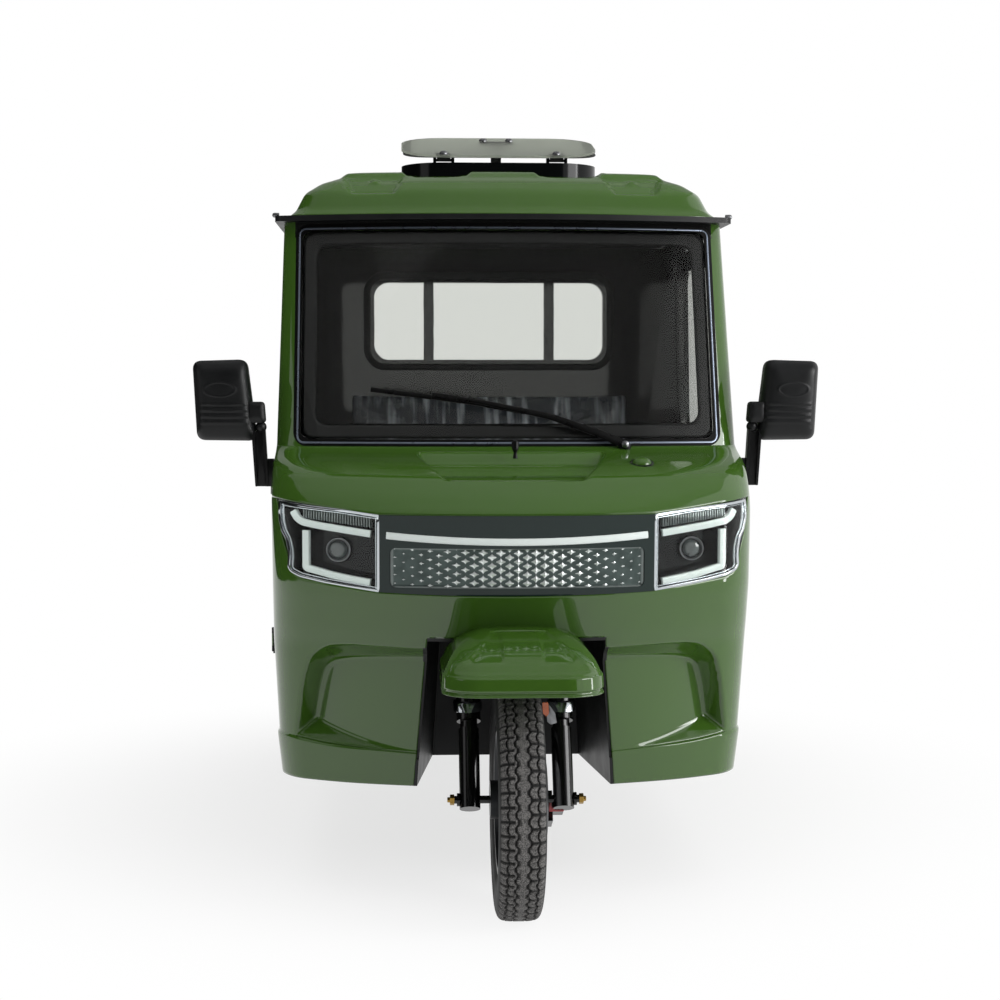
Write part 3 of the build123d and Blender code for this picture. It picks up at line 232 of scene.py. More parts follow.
def flank(share, z, x_start, out=0.0):
    """Point of the skin from x_start round the corner to the door: share 0 to 0.6 turns the corner by equal
    angles, 0.6 to 1 runs straight back to the door's edge."""
    share, z = np.broadcast_arrays(np.asarray(share, float), np.asarray(z, float))
    w, nose, bow, corner = section(z)
    centre_x = w - corner
    centre_y = nose + bow - np.sqrt((bow - corner) ** 2 - centre_x**2)
    start = np.arcsin(np.clip((x_start - centre_x) / corner, -1, 1))
    turn = start + (math.pi / 2 - start) * np.clip(share / 0.6, 0, 1)
    back = np.clip((share - 0.6) / 0.4, 0, 1)
    x = centre_x + (corner + out) * np.sin(turn)
    y = centre_y - (corner + out) * np.cos(turn)
    return np.stack([x, y + back * (DOOR_EDGE - y), z], -1)


def screen(x, z, out=0.0):
    """Point of the windscreen's plane: a bow of radius 1900 whose nose runs back 200 mm over the 570 mm above
    the belt."""
    x, z = np.broadcast_arrays(np.asarray(x, float), np.asarray(z, float))
    nose = SCREEN_Y + (z - SCREEN_Z) * SCREEN_LEAN
    return np.stack([x, nose + SCREEN_BOW - np.sqrt(SCREEN_BOW**2 - x**2) - out, z], -1)


def mirrored(grid):
    """The grid on the other side of the centre line, turned so that its faces still point outward."""
    return (grid * np.array([-1, 1, 1]))[:, ::-1]


def in_scene(name, data):
    """New object in the scene's collection."""
    made = bpy.data.objects.new(name, data)
    bpy.context.scene.collection.objects.link(made)
    return made


def surface(
    name, grids, finish, slot, stands_for=(), body="chassis", wall=0, sharp=40, weld=0.02, marks=None
):
    """One mesh from grids of points, each rows by columns, with quads between neighbours.

    Faces point to the side where the columns run right and the rows run up. Points closer than weld are
    joined, edges sharper than the angle stay sharp, and a wall in mm is added inward by Solidify. Marks are
    one number per point, kept as the attribute that a material can read.
    """
    points, faces, start = [], [], 0
    for grid in grids:
        grid = np.asarray(grid, float)
        n, m = grid.shape[:2]
        index = np.arange(n * m).reshape(n, m) + start
        quads = np.stack([index[:-1, :-1], index[:-1, 1:], index[1:, 1:], index[1:, :-1]], -1).reshape(-1, 4)
        points.append(grid.reshape(-1, 3))
        faces.append(quads)
        start += n * m
    points, faces = np.concatenate(points), np.concatenate(faces)
    keys = np.round(points / weld).astype(np.int64)
    _, first, back = np.unique(keys, axis=0, return_index=True, return_inverse=True)
    points, faces = points[first], back.reshape(-1)[faces]
    same = faces == np.roll(faces, 1, axis=1)
    full = faces[~same.any(1)]
    partly = faces[same.sum(1) == 1]
    keep = ~(partly == np.roll(partly, 1, axis=1))
    triangles = partly[keep].reshape(-1, 3)
    mesh = bpy.data.meshes.new(name)
    mesh.from_pydata(placed(points).tolist(), [], full.tolist() + triangles.tolist())
    if marks is not None:
        kept = np.concatenate([np.asarray(m, np.float32).reshape(-1) for m in marks])[first]
        mesh.attributes.new("marks", "FLOAT", "POINT").data.foreach_set("value", kept)
    mesh.shade_smooth()
    mesh.set_sharp_from_angle(angle=math.radians(sharp))
    mesh.materials.append(finish)
    made = in_scene(name, mesh)
    if wall:
        solid = made.modifiers.new("wall", "SOLIDIFY")
        solid.thickness = wall / 1000
        solid.offset = -1
    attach(made, body)
    if stands_for:
        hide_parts(*stands_for)
    return made


def spun(profile, centre, count, axis="x"):
    """Grid of a profile turned about an axis through the centre: rows round it, columns along the profile.

    The profile's pairs are distance along the axis and radius. Point = centre + along + radius * (cos, sin).
    """
    along, radius = np.array(profile, float).T
    turn = np.linspace(2 * math.pi, 0, count + 1)[:, None]
    a = np.broadcast_to(along, (count + 1, len(along)))
    u, v = radius * np.cos(turn), radius * np.sin(turn)
    parts = {"x": (a, u, v), "y": (v, a, u), "z": (u, v, a)}[axis]
    return np.stack(parts, -1) + np.array(centre, float)


def smoothed(path, step, reach, closed=False):
    """The path at equal steps, each point the mean of the run within reach, which rounds its corners."""
    path = np.asarray(path, float)
    if closed:
        path = np.concatenate([path, path[:1]])
    run = np.concatenate([[0], np.cumsum(np.linalg.norm(np.diff(path, axis=0), axis=1))])
    count = max(int(run[-1] / step), 2)
    at = np.linspace(0, run[-1], count + 1)
    spread = np.linspace(-reach, reach, 9)
    total = 0
    for s in spread:
        there = np.mod(at + s, run[-1]) if closed else np.clip(at + s, 0, run[-1])
        total = total + np.stack([np.interp(there, run, path[:, k]) for k in range(path.shape[1])], -1)
    made = total / len(spread)
    if not closed:
        made[0], made[-1] = path[0], path[-1]
    return made


def left_of(path, closed):
    """Unit normal to the left of a path at each point, from the points before and after it."""
    if closed:
        way = np.roll(path[:-1], -1, axis=0) - np.roll(path[:-1], 1, axis=0)
        way = np.concatenate([way, way[:1]])
    else:
        way = np.gradient(path, axis=0)
    way = way / np.linalg.norm(way, axis=1, keepdims=True)
    return np.stack([-way[:, 1], way[:, 0]], -1)


def bead(path, offsets, outs, on, closed=False):
    """Strip along a front-view path: each column lies at an offset to the path's left and stands out by outs.

    Point = on(path + offset * left normal, out), with the normal from the path's own direction.
    """
    left = left_of(path, closed)
    across = path[:, None] + left[:, None] * np.asarray(offsets, float)[None, :, None]
    lift = np.broadcast_to(np.asarray(outs, float), across.shape[:2])
    return on(across[..., 0], across[..., 1], lift)


def ribbon(path, half, face, back, on, closed=False, round_edge=1.5):
    """Solid strip along a front-view path: flat face, rounded edges, side walls back to a depth, closed ends.

    Half is its half width, one number or one per point of the path. Columns run across from one wall to the
    other; at each end of an open path the last row drops back to close it.
    """
    half = np.broadcast_to(np.asarray(half, float), len(path))
    face = np.broadcast_to(np.asarray(face, float), len(path))
    deep = np.full(len(path), float(back))
    e = round_edge
    offsets = np.stack([half, half, half - 0.3 * e, half - e, -half + e, -half + 0.3 * e, -half, -half], -1)
    outs = np.stack([deep, face - e, face - 0.3 * e, face, face, face - 0.3 * e, face - e, deep], -1)
    across = path[:, None] + left_of(path, closed)[:, None] * offsets[..., None]
    if not closed:
        across = np.concatenate([across[:1], across, across[-1:]])
        outs = np.pad(outs, ((1, 1), (0, 0)), constant_values=back)
    return on(across[..., 0], across[..., 1], outs)


def filled(path, rows):
    """Grid over a closed outline that bulges round its middle: rows shrink from the edge to the centre."""
    path = np.asarray(path, float)
    middle = path[:-1].mean(0)
    share = np.linspace(1, 0, rows)[:, None, None]
    return middle + share * (path[None] - middle)


def rounded_box(half_w, low, high, corner):
    """Closed front-view path of a rounded rectangle about the centre line, counter-clockwise."""
    corners = [(half_w, low), (half_w, high), (-half_w, high), (-half_w, low)]
    path = []
    for k, (x, z) in enumerate(corners):
        turn = math.radians(-90 + 90 * k) + np.linspace(0, math.pi / 2, 9)
        cx, cz = x - math.copysign(corner, x), z + (corner if z == low else -corner)
        path += [(cx + corner * math.cos(t), cz + corner * math.sin(t)) for t in turn]
    return smoothed(path, 6, 0.1, closed=True)


def stacked(path, rows):
    """Grid of a front-view outline: each row has it drawn in to its middle by a share, at a station."""
    middle = path[:-1].mean(0)
    grid = []
    for share, y in rows:
        flat = middle + share * (path - middle)
        grid.append(np.stack([flat[:, 0], np.full(len(flat), float(y)), flat[:, 1]], -1))
    return np.array(grid)


def upright(path, y0, y1, round_edge=3):
    """Closed solid from a front-view outline between two stations: rounded front, side wall, flat back."""
    path = smoothed(path, 3, round_edge, closed=True)
    edge = ((1, y0 + round_edge), (0.99, y0 + 0.3 * round_edge), (0.96, y0))
    return stacked(path, ((0, y1), (1, y1), *edge, (0, y0)))


def tilted(points):
    """Points of the closed hatch turned 15 degrees about its pins, as the photo shows it."""
    c, s = math.cos(HATCH_TILT), math.sin(HATCH_TILT)
    y, z = points[..., 1] - HATCH_PIN_Y, points[..., 2] - HATCH_PIN_Z
    return np.stack([points[..., 0], HATCH_PIN_Y + c * y - s * z, HATCH_PIN_Z + s * y + c * z], -1)


def node(tree, kind, inputs=None, **settings):
    """Adds a shader node, gives it its settings, and fills or links its sockets."""
    made = tree.nodes.new("ShaderNode" + kind)
    for key, value in settings.items():
        setattr(made, key, value)
    for key, value in (inputs or {}).items():
        if isinstance(value, bpy.types.NodeSocket):
            tree.links.new(value, made.inputs[key])
        else:
            made.inputs[key].default_value = value
    return made


def material(
    name, colour, second=None, patch=120, grain=0, depth=0, spread=0.0, detail=3.0, **sockets
):
    """A Principled material, plain or with a colour that drifts to a second one in patches of so many mm.

    The roughness drifts along by spread, and the bump is grain mm wide and depth mm deep.
    """
    made = bpy.data.materials.new(name)
    made.use_nodes = True
    tree = made.node_tree
    shader = tree.nodes["Principled BSDF"]
    for key, value in sockets.items():
        shader.inputs[key.replace("_", " ")].default_value = value
    if not second:
        shader.inputs["Base Color"].default_value = linear(colour)
        return made
    place = node(tree, "TexCoord").outputs["Object"]
    clouds = node(tree, "TexNoise", {"Vector": place, "Scale": 1000 / patch, "Detail": detail})
    drift = clouds.outputs["Fac"]
    blend = {"Factor": drift, 6: linear(colour), 7: linear(second)}
    mix = node(tree, "Mix", blend, data_type="RGBA")
    tree.links.new(mix.outputs[2], shader.inputs["Base Color"])
    if spread:
        rough = sockets["Roughness"]
        limits = {"From Min": 0.3, "From Max": 0.7, "To Min": rough - spread, "To Max": rough + spread}
        span = node(tree, "MapRange", {"Value": drift, **limits})
        tree.links.new(span.outputs[0], shader.inputs["Roughness"])
    if grain:
        fine = node(tree, "TexNoise", {"Vector": place, "Scale": 1000 / grain, "Detail": 2.0})
        relief = {"Height": fine.outputs["Fac"], "Strength": 1.0, "Distance": depth / 1000}
        bump = node(tree, "Bump", relief)
        tree.links.new(bump.outputs["Normal"], shader.inputs["Normal"])
    return made


def wrapped_vinyl():
    """Dark vinyl in clear film: painted highlights on soft upright creases where Z-stretched noise is high.
    """
    made = material("wrapped_vinyl", "#2d2f35", "#44474f", 60, 26, 3.0, 0.1, Roughness=0.25, IOR=1.5)
    tree = made.node_tree
    base = tree.nodes["Principled BSDF"].inputs["Base Color"]
    place = node(tree, "TexCoord").outputs["Object"]
    drawn = node(tree, "VectorMath", {0: place, 1: (34.0, 8.0, 3.2)}, operation="MULTIPLY")
    folds = node(tree, "TexNoise", {"Vector": drawn.outputs[0], "Scale": 1.0, "Detail": 2.0})
    limits = {"Value": folds.outputs["Fac"], "From Min": 0.47, "From Max": 0.72, "To Max": 0.9}
    crease_highlight = node(tree, "MapRange", limits, interpolation_type="SMOOTHSTEP").outputs[0]
    # Painted highlights of the wrap where the stretched noise is high
    blend = {"Factor": crease_highlight, 6: base.links[0].from_socket, 7: linear("#a3a7b0")}
    mix = node(tree, "Mix", blend, data_type="RGBA")
    tree.links.new(mix.outputs[2], base)
    return made


def cab_paint():
    """Enamel outside, near-black painted shade inside the cab, and a black header between the pillars.

    A face is outside where it looks away from the cab's middle, and the header is what lies within 531 mm of
    the centre line above 1.6 m.
    """
    made = material("enamel_with_painted_inside_shade", "#3a5a1d", "#36551b", 400, Roughness=0.06, IOR=1.62)
    tree = made.node_tree
    base = tree.nodes["Principled BSDF"].inputs["Base Color"]
    place = node(tree, "TexCoord").outputs["Object"]
    away = node(tree, "VectorMath", {0: place, 1: CAB_MIDDLE}, operation="SUBTRACT").outputs[0]
    looks = node(tree, "TexCoord").outputs["Normal"]
    turned = node(tree, "VectorMath", {0: away, 1: looks}, operation="DOT_PRODUCT")
    outside = node(tree, "Math", {0: turned.outputs["Value"], 1: 0.0}, operation="GREATER_THAN")
    parts = node(tree, "SeparateXYZ", {0: place}).outputs
    wide = node(tree, "Math", {0: parts["X"]}, operation="ABSOLUTE").outputs[0]
    narrow = node(tree, "Math", {0: wide, 1: HEADER_HALF}, operation="LESS_THAN").outputs[0]
    high = node(tree, "Math", {0: parts["Z"], 1: HEADER_LOW}, operation="GREATER_THAN").outputs[0]
    header = node(tree, "Math", {0: narrow, 1: high}, operation="MULTIPLY").outputs[0]
    edges = {0: outside.outputs[0], 1: header}
    green = node(tree, "Math", edges, operation="SUBTRACT", use_clamp=True)
    # Inside faces take near-black as painted shade for the dim cab
    blend = {"Factor": green.outputs[0], 6: linear("#101110"), 7: base.links[0].from_socket}
    mix = node(tree, "Mix", blend, data_type="RGBA")
    tree.links.new(mix.outputs[2], base)
    return made


def tread_rubber():
    """Filled rubber: speckled grey painted light on the tread, painted shade in the grooves, black walls."""
    made = material("rubber_with_painted_tread_light", "#1b1c1d", "#242423", 45, 1.5, 0.05, 0.06, Roughness=0.62, IOR=1.35)
    tree = made.node_tree
    base = tree.nodes["Principled BSDF"].inputs["Base Color"]
    mark = node(tree, "Attribute", attribute_name="marks").outputs["Fac"]
    place = node(tree, "TexCoord").outputs["Object"]
    speckle_noise = node(tree, "TexNoise", {"Vector": place, "Scale": 420.0, "Detail": 3.0}).outputs["Fac"]
    speck = node(tree, "MapRange", {"Value": speckle_noise, "From Min": 0.38, "From Max": 0.62}).outputs[0]
    lit_tread_greys = {"Factor": speck, 6: linear("#3a3939"), 7: linear("#7d7b79")}
    grey = node(tree, "Mix", lit_tread_greys, data_type="RGBA").outputs[2]
    blend = {"Factor": mark, 6: base.links[0].from_socket, 7: grey}
    mix = node(tree, "Mix", blend, data_type="RGBA")
    tree.links.new(mix.outputs[2], base)
    return made


def star_plastic():
    """Metallised plastic behind a clear cover: bright silver stars on a dark grey-green ground."""
    finish = {"detail": 4.0, "Roughness": 0.2, "Metallic": 0.55}
    made = material("metallised_polycarbonate", "#1f2a28", "#55625f", 1000 / 45, 5, 0.02, **finish)
    tree = made.node_tree
    base = tree.nodes["Principled BSDF"].inputs["Base Color"]
    mark = node(tree, "Attribute", attribute_name="marks").outputs["Fac"]
    blend = {"Factor": mark, 6: base.links[0].from_socket, 7: linear("#f4faf8")}
    mix = node(tree, "Mix", blend, data_type="RGBA")
    tree.links.new(mix.outputs[2], base)
    return made


# Finishes. Each starts from the real material and says what that gives the eye.
# Baked green enamel: deep saturated colour, sharp reflections that stay weak until grazing
PAINT = material("baked_enamel", "#3a5a1d", "#36551b", 400, Roughness=0.06, IOR=1.62)
# The same steel inside the cab, coloured near-black as painted shade: dull, slightly uneven
INSIDE_SHADE = material("painted_cab_shade", "#0f100f", "#151615", 120, 5, 0.02, 0.05, Roughness=0.5, IOR=1.3)
# Powder-coated steel: satin black with a fine pebbled skin
FRAME_PAINT = material("powder_coat", "#0b0c0c", "#101011", 90, 1.6, 0.05, 0.06, Roughness=0.38, IOR=1.33)
# Moulded polypropylene: near-black, soft highlights, grained skin
TRIM = material("grained_polypropylene", "#0e0f10", "#131415", 60, 1.2, 0.05, 0.05, Roughness=0.42, IOR=1.36)
# Smoked polycarbonate: dark grey-green with a hard clear gloss
SMOKED = material("smoked_polycarbonate", "#1c2826", "#1f2b29", 200, 20, 0.004, Roughness=0.06, IOR=1.36)
# Toughened float glass: clear with a faint green cast, smooth
GLASS = material("float_glass", "#e9eae7", "#e7e9e6", 500, Roughness=0.0, Transmission_Weight=1.0, IOR=1.2)
# Clear polycarbonate lens: brighter than the glass, with slight flow waves
LENS = material(
    "clear_polycarbonate", "#f8faf9", "#f6f9f8", 300, Roughness=0.0, Transmission_Weight=1.0, IOR=1.2
)
# Frosted light guide: even milky white with a soft sheen
GUIDE = material("frosted_acrylic", "#e6eeeb", "#dfe8e4", 80, 2, 0.01, Roughness=0.3, IOR=1.49)
# Vacuum-metallised reflector: mirror bright with soft dimples
CHROME = material("metallised_reflector", "#c9ced1", "#bfc5c9", 40, 14, 0.05, Roughness=0.12, Metallic=1.0)
# Red acrylic of the tail lamps
RED = material("red_acrylic", "#6d0d0c", "#7d1210", 30, 6, 0.05, Roughness=0.15, Coat_Weight=0.5, IOR=1.49)
# Filled rubber: black in the grooves as painted shade, speckled grey painted light on the tread
TREAD_RUBBER = tread_rubber()
# Graphite wheel lacquer: dark, with metal flake under a satin coat
WHEEL = material("graphite_lacquer", "#232527", "#2b2d2f", 60, 2, 0.01, 0.05, Roughness=0.35, Metallic=0.5)
# Ground glass ball of the low beam: dark inside, with hard bright reflections
BALL = material("ground_glass_ball", "#2b3131", "#3c4443", 12, 5, 0.02, Roughness=0.04, IOR=1.9)
# Ground brake steel: bright metal with brushed haze
STEEL = material("ground_steel", "#8d8e90", "#7b7c7e", 12, 0.8, 0.01, 0.08, Roughness=0.35, Metallic=1.0)
# Black spring steel: dark metal, oxidised
SPRING = material("oxidised_steel", "#262422", "#332d29", 25, 2, 0.05, 0.08, Roughness=0.6, Metallic=0.4)
# Vinyl on foam under a clear plastic wrap: dark grey, with painted highlights along upright creases in the
# wrap
VINYL = wrapped_vinyl()
# Zinc-plated and chromated nuts: yellow metal
ZINC = material("yellow_zinc", "#a8894a", "#97793f", 8, 2, 0.02, 0.05, Roughness=0.35, Metallic=1.0)
# Amber reflector prisms
AMBER = material("amber_acrylic", "#c4590e", "#b34c0a", 5, 2, 0.2, Roughness=0.15, Coat_Weight=0.6, IOR=1.49)
# Black ceramic print on glass: flat black, a little gloss from the glass behind it
FRIT = material("ceramic_frit", "#070808", "#0a0b0b", 20, 1.0, 0.01, Roughness=0.35, IOR=1.3)
# Black plastic of the lamp bodies: deep and glossy
LAMP_BLACK = material("polished_black_abs", "#08090a", "#0c0e0f", 40, 3, 0.004, Roughness=0.12, IOR=1.3)
# Red caliper paint
RED_PAINT = material(
    "red_enamel", "#b3121a", "#a30f17", 20, 5, 0.01, Roughness=0.35, Coat_Weight=0.6, IOR=1.5
)
# Bright strip in the seal: pale blue-grey metal, its colour a painted highlight along the seal
SEAL_HIGHLIGHT = material("seal_highlight_metal", "#8d96a5", "#7b8594", 30, 3, 0.01, 0.06, Roughness=0.3, Metallic=0.8)
# Wiper arm: flat black lacquer with a narrow sheen
WIPER_BLACK = material("black_lacquer", "#040404", "#070707", 20, 2, 0.01, 0.05, Roughness=0.3, IOR=1.3)
# Fork tubes: glossy black stoving enamel, with sharp upright highlights
FORK_BLACK = material("stoving_enamel", "#060606", "#0a0a0a", 60, 6, 0.004, 0.03, Roughness=0.14, IOR=1.45)
# Windscreen seal: matt black rubber without dust
SEAL_RUBBER = material("clean_rubber", "#050505", "#080808", 40, 2, 0.02, 0.05, Roughness=0.55, IOR=1.22)
# Hatch glass: tinted grey-green, and blurred by the dots printed on it
HATCH_GLASS = material(
    "dotted_tinted_glass", "#abb0a4", "#a3a99c", 60, 4, 0.02, Roughness=0.4, Transmission_Weight=1.0, IOR=1.25
)
# Back-silvered mirror glass
MIRROR_GLASS = material(
    "silvered_glass", "#dfe5e6", "#d8dfe1", 200, 60, 0.002, Roughness=0.03, Metallic=1.0
)
# Metallised plastic of the star lamp and the combs: silver on grey-green, on the combs as painted light
STARS = star_plastic()
# Enamel outside the cab, near-black painted shade inside it, and black paint on the header
CAB_PAINT = cab_paint()

BY_SLOT = {
    "body_paint": PAINT, "frame_paint": FRAME_PAINT, "black_trim": TRIM, "dark_gloss": SMOKED,
    "clear_glass": GLASS, "clear_lens": LENS, "white_lens": GUIDE, "lamp_silver": CHROME, "red_lens": RED,
    "tyre_rubber": TREAD_RUBBER, "wheel_paint": WHEEL, "disc_steel": STEEL, "seat_cover": VINYL,
    "spring_steel": SPRING,
}
# Nodes whose finish differs from their slot's
BY_NODE = {
    "cab_sides": CAB_PAINT, "rear_wall": CAB_PAINT, "cab_floor": CAB_PAINT, "door_left": CAB_PAINT,
    "door_right": CAB_PAINT, "fork": FORK_BLACK, "windscreen_seal": SEAL_RUBBER, "hatch_glass": HATCH_GLASS,
    "hatch_frame": LAMP_BLACK,
}

for row in frame["record"]["subparts"]:
    finish = BY_NODE.get(row["node"], BY_SLOT[row["material_slot"]])
    materials = frame["nodes"][row["node"]].data.materials
    materials.clear()
    materials.append(finish)


def scoop_depth(x, z, skin_y):
    """Station of the skin with the scoop pressed in.

    The wall runs back from the rim by WALL_SLOPE per mm of distance inside it, the ledge back from the lip by
    LEDGE_SLOPE per mm of height, and the floor is a parabola across at each of two heights, straight between
    them. The scoop is the least of the three, and the skin is the greater of itself and the scoop.
    """
    rim = smoothed(np.stack([RIM_X, RIM_Z], -1), 4, 6)
    flat = np.stack([x, z], -1).reshape(-1, 1, 2)
    a, b = rim[None, :-1], rim[None, 1:]
    along = b - a
    t = np.clip(((flat - a) * along).sum(-1) / (along**2).sum(-1), 0, 1)
    far = np.linalg.norm(flat - (a + along * t[..., None]), axis=-1).min(1).reshape(x.shape)
    inside = (z < np.interp(x, rim[::-1, 0], rim[::-1, 1])) & (x < 520)
    wall = skin_y + WALL_SLOPE * np.where(inside, far, -far)
    floors = []
    for _, across, stations in (FLOOR_LOW, FLOOR_HIGH):
        floors.append(np.polyval(np.polyfit(across, stations, 2), x))
    share = (z - FLOOR_LOW[0]) / (FLOOR_HIGH[0] - FLOOR_LOW[0])
    floor = floors[0] + share * (floors[1] - floors[0])
    lip = averaged(x, LIP_X, LIP_Z, 20)
    ledge = front(x, lip)[..., 1] + LEDGE_SLOPE * (z - lip)
    pressed = soft_min(soft_min(wall, floor, 12), ledge, 8)
    return soft_max(skin_y, pressed, 5)


def cowl_recess(grid):
    """Shallow tray pressed into the cowl below the windscreen, 12 mm deep in front and 24 mm behind."""
    x, z = np.abs(grid[..., 0]), grid[..., 2].copy()
    reach = 158 + (z - 1013) * 1.25
    tray = ramp(1007, 1013, z) * (1 - ramp(reach - 4, reach + 5, x)) * (1 - ramp(1056, 1066, z))
    deep = 12 + 12 * ramp(1016, 1050, z)
    grid[..., 2] -= deep * tray
    grid[..., 1] += 0.4 * deep * tray
    return grid


def nose_skin():
    """Green nose panel: cowl, flanks, chin and the two bumper lobes with their scoops.

    Columns run from the wheel well to x 530 and then round the corner to the door; rows run up from the sill
    to the lip, to the well's top, to the strip's lower edge, and from its upper edge to the windscreen. Their
    heights follow the lip and the strip, so both edges are clean.
    """
    share = np.linspace(0, 1, COLUMNS)
    turn = np.concatenate([np.linspace(0, 0.35, 20)[:-1], np.linspace(0.35, 1, 18)])
    round_x = np.maximum(flank(turn, 850, NOSE_BEND)[:, 0], NOSE_BEND)

    def between(low_of, high_of, rows):
        """Near and far columns between two edges that are functions of x: height = low + t * (high - low)."""
        t = rows[:, None]

        def height(x):
            return low_of(x) + t * (high_of(x) - low_of(x))

        inner = WELL_HALF - (np.minimum(height(300.0), WELL_TOP) - 200) * WELL_DRAW / (WELL_TOP - 200)
        x = inner + share * (NOSE_BEND - inner)
        return front(x, height(x)), flank(turn, height(round_x), NOSE_BEND)

    def level(z):
        """An edge at one height."""
        return lambda x: z + 0 * x

    def lip(x):
        return averaged(x, LIP_X, LIP_Z, 20)

    def strip_low(x):
        return averaged(x, STRIP_X, STRIP_LOW, 5)

    def strip_high(x):
        return averaged(x, STRIP_TOP_X, STRIP_TOP, 8)

    rows = np.linspace(0, 1, 20)
    near, far = between(level(NOSE_LOW), lip, rows)
    proud = BAND_PROUD * (1 - ramp(0.93, 1.0, rows[:, None]))
    near[..., 1] -= proud * ramp(250, 420, near[..., 0])
    bend = ramp(0, 0.6, turn)[None]
    far[..., 0] += proud * bend
    far[..., 1] -= proud * (1 - bend)
    grids = [near, far]

    near, far = between(lip, level(WELL_TOP), np.linspace(0, 1, 80))
    near[..., 1] = scoop_depth(near[..., 0], near[..., 2], near[..., 1])
    grids += [near, far]

    crowded = np.interp(np.linspace(0, 1, 56), (0, 0.2, 0.85, 1), (0, 0.45, 0.88, 1))
    for rows, low_of, high_of in (
        (np.linspace(0, 1, 22), level(WELL_TOP), strip_low),
        (crowded, strip_high, level(NOSE_HIGH)),
    ):
        near, far = between(low_of, high_of, rows)
        near = cowl_recess(near)
        x = np.linspace(0, near[0, 0, 0], 34)
        z = low_of(x) + rows[:, None] * (high_of(x) - low_of(x))
        grids += [near, far, cowl_recess(front(x[None] + 0 * z, z))]
    grids += [mirrored(g) for g in grids]
    surface("nose_panel", grids, PAINT, "body_paint", ["front_panel"], wall=3, sharp=50)


def hinges():
    """Fixed hinge halves on the nose: two knuckles round the pin and the leaf behind them, at each height."""
    grids = []
    for z in (590, 985):
        for low, high in ((z + 15.5, z + 30), (z - 30, z - 15.5)):
            grids.append(spun([(low, 0.1), (low, 8), (high, 8), (high, 0.1)], (582, 758, 0), 24, "z"))
        leaf = [(720, z - 30), (756, z - 30), (756, z + 30), (720, z + 30), (720, z - 30)]
        y, h = np.array(leaf, float).T
        grids.append(np.stack([np.stack([np.full(5, x), y, h], -1) for x in (572, 584)], 0)[::-1])
        grids.append(np.array([[(584, y, z + side) for y in (720, 756)] for side in (-30, 30)]))
    grids += [mirrored(g) for g in grids]
    surface("door_hinges", grids, TRIM, "black_trim", sharp=30)


def visor():
    """Green visor over the front wheel, open below and behind.

    Each row is a U-shaped plan outline at one height of the table, rounded between rows; the last rows shrink
    towards the centre line with a slight crown. Between 571 and 602 mm up a band stands 4.5 mm proud of the
    groove under it, which the bottom lip closes. A middle panel and two slanted shoulders stand 3.5 mm out of
    the slope above.
    """
    table = smoothed(VISOR_SECTIONS, 3, 9)
    heights = np.concatenate([np.linspace(VISOR_LOW, 612, 30), np.linspace(614, VISOR_SECTIONS[-1][0], 34)])
    table = np.stack([heights] + [np.interp(heights, table[:, 0], table[:, k]) for k in (1, 2, 3)], -1)
    turn = np.linspace(0, math.pi / 2, 15)
    rows = []
    for z, half, y0, corner in table:
        back = float(front(half, z)[1]) + 2
        side = np.linspace(back, y0 + corner, 22)[:-1]
        x = np.concatenate([np.full(21, half), half - corner + corner * np.cos(turn)])
        y = np.concatenate([side, y0 + corner - corner * np.sin(turn)])
        mid = np.linspace(half - corner, 0, 24)[1:]
        x, y = np.concatenate([x, mid]), np.concatenate([y, np.full(23, y0)])
        band = ramp(570, 573, z) * (1 - ramp(599, 604, z))
        lip = 1 - ramp(562, 566, z)
        inward = 4.5 * (1 - max(band, lip))
        normal = np.gradient(np.stack([x, y], -1), axis=0)
        normal /= np.linalg.norm(normal, axis=1, keepdims=True)
        x, y = x + inward * normal[:, 1], y - inward * normal[:, 0]
        x = np.maximum(x, 0)
        x[-1] = 0
        panel = (1 - ramp(40, 48, x)) * ramp(632, 640, z)
        shoulder = ramp(-3, 5, x - 58 - (678 - z) * 1.35) * ramp(604, 614, z)
        sunk = 3.5 * (1 - np.maximum(panel, shoulder)) * ramp(604, 616, z)
        rows.append(np.stack([x, y + sunk * 0.8, np.full_like(x, z) - sunk * 0.6], -1))
    top = rows[-1]
    for f in (0.85, 0.6, 0.3, 0.0):
        crown = top.copy()
        crown[:, 0] *= f
        crown[:, 2] += 2.5 * (1 - f**2)
        rows.append(crown)
    grid = np.array(rows)[:, ::-1]
    grid[:, 0, 0] = 0
    surface("visor", [grid, mirrored(grid)], PAINT, "body_paint", ["front_mudguard"], wall=3, sharp=60)


def plan_radius(half, front_y, rear_y, front_corner, bow, angle):
    """Distance from the roof's middle to a plan outline in each direction.

    The outline has straight sides and back, a bowed front of the given radius, and round corners made by the
    mean of the outline over a run of the corner's length.
    """
    side_y = front_y + bow - math.sqrt(bow**2 - half**2)
    arc_x = np.linspace(-half, half, 60)
    arc = np.stack([arc_x, front_y + bow - np.sqrt(bow**2 - arc_x**2)], -1)
    path = np.concatenate([arc, [[half, side_y + 30], [half, rear_y], [-half, rear_y], [-half, side_y + 30]]])
    path = smoothed(path, 2, front_corner * 0.62, closed=True)
    along = np.arctan2(path[:, 1] - ROOF_MIDDLE, path[:, 0])
    far = np.hypot(path[:, 0], path[:, 1] - ROOF_MIDDLE)
    order = np.argsort(along)
    return np.interp(angle, along[order], far[order], period=2 * math.pi)


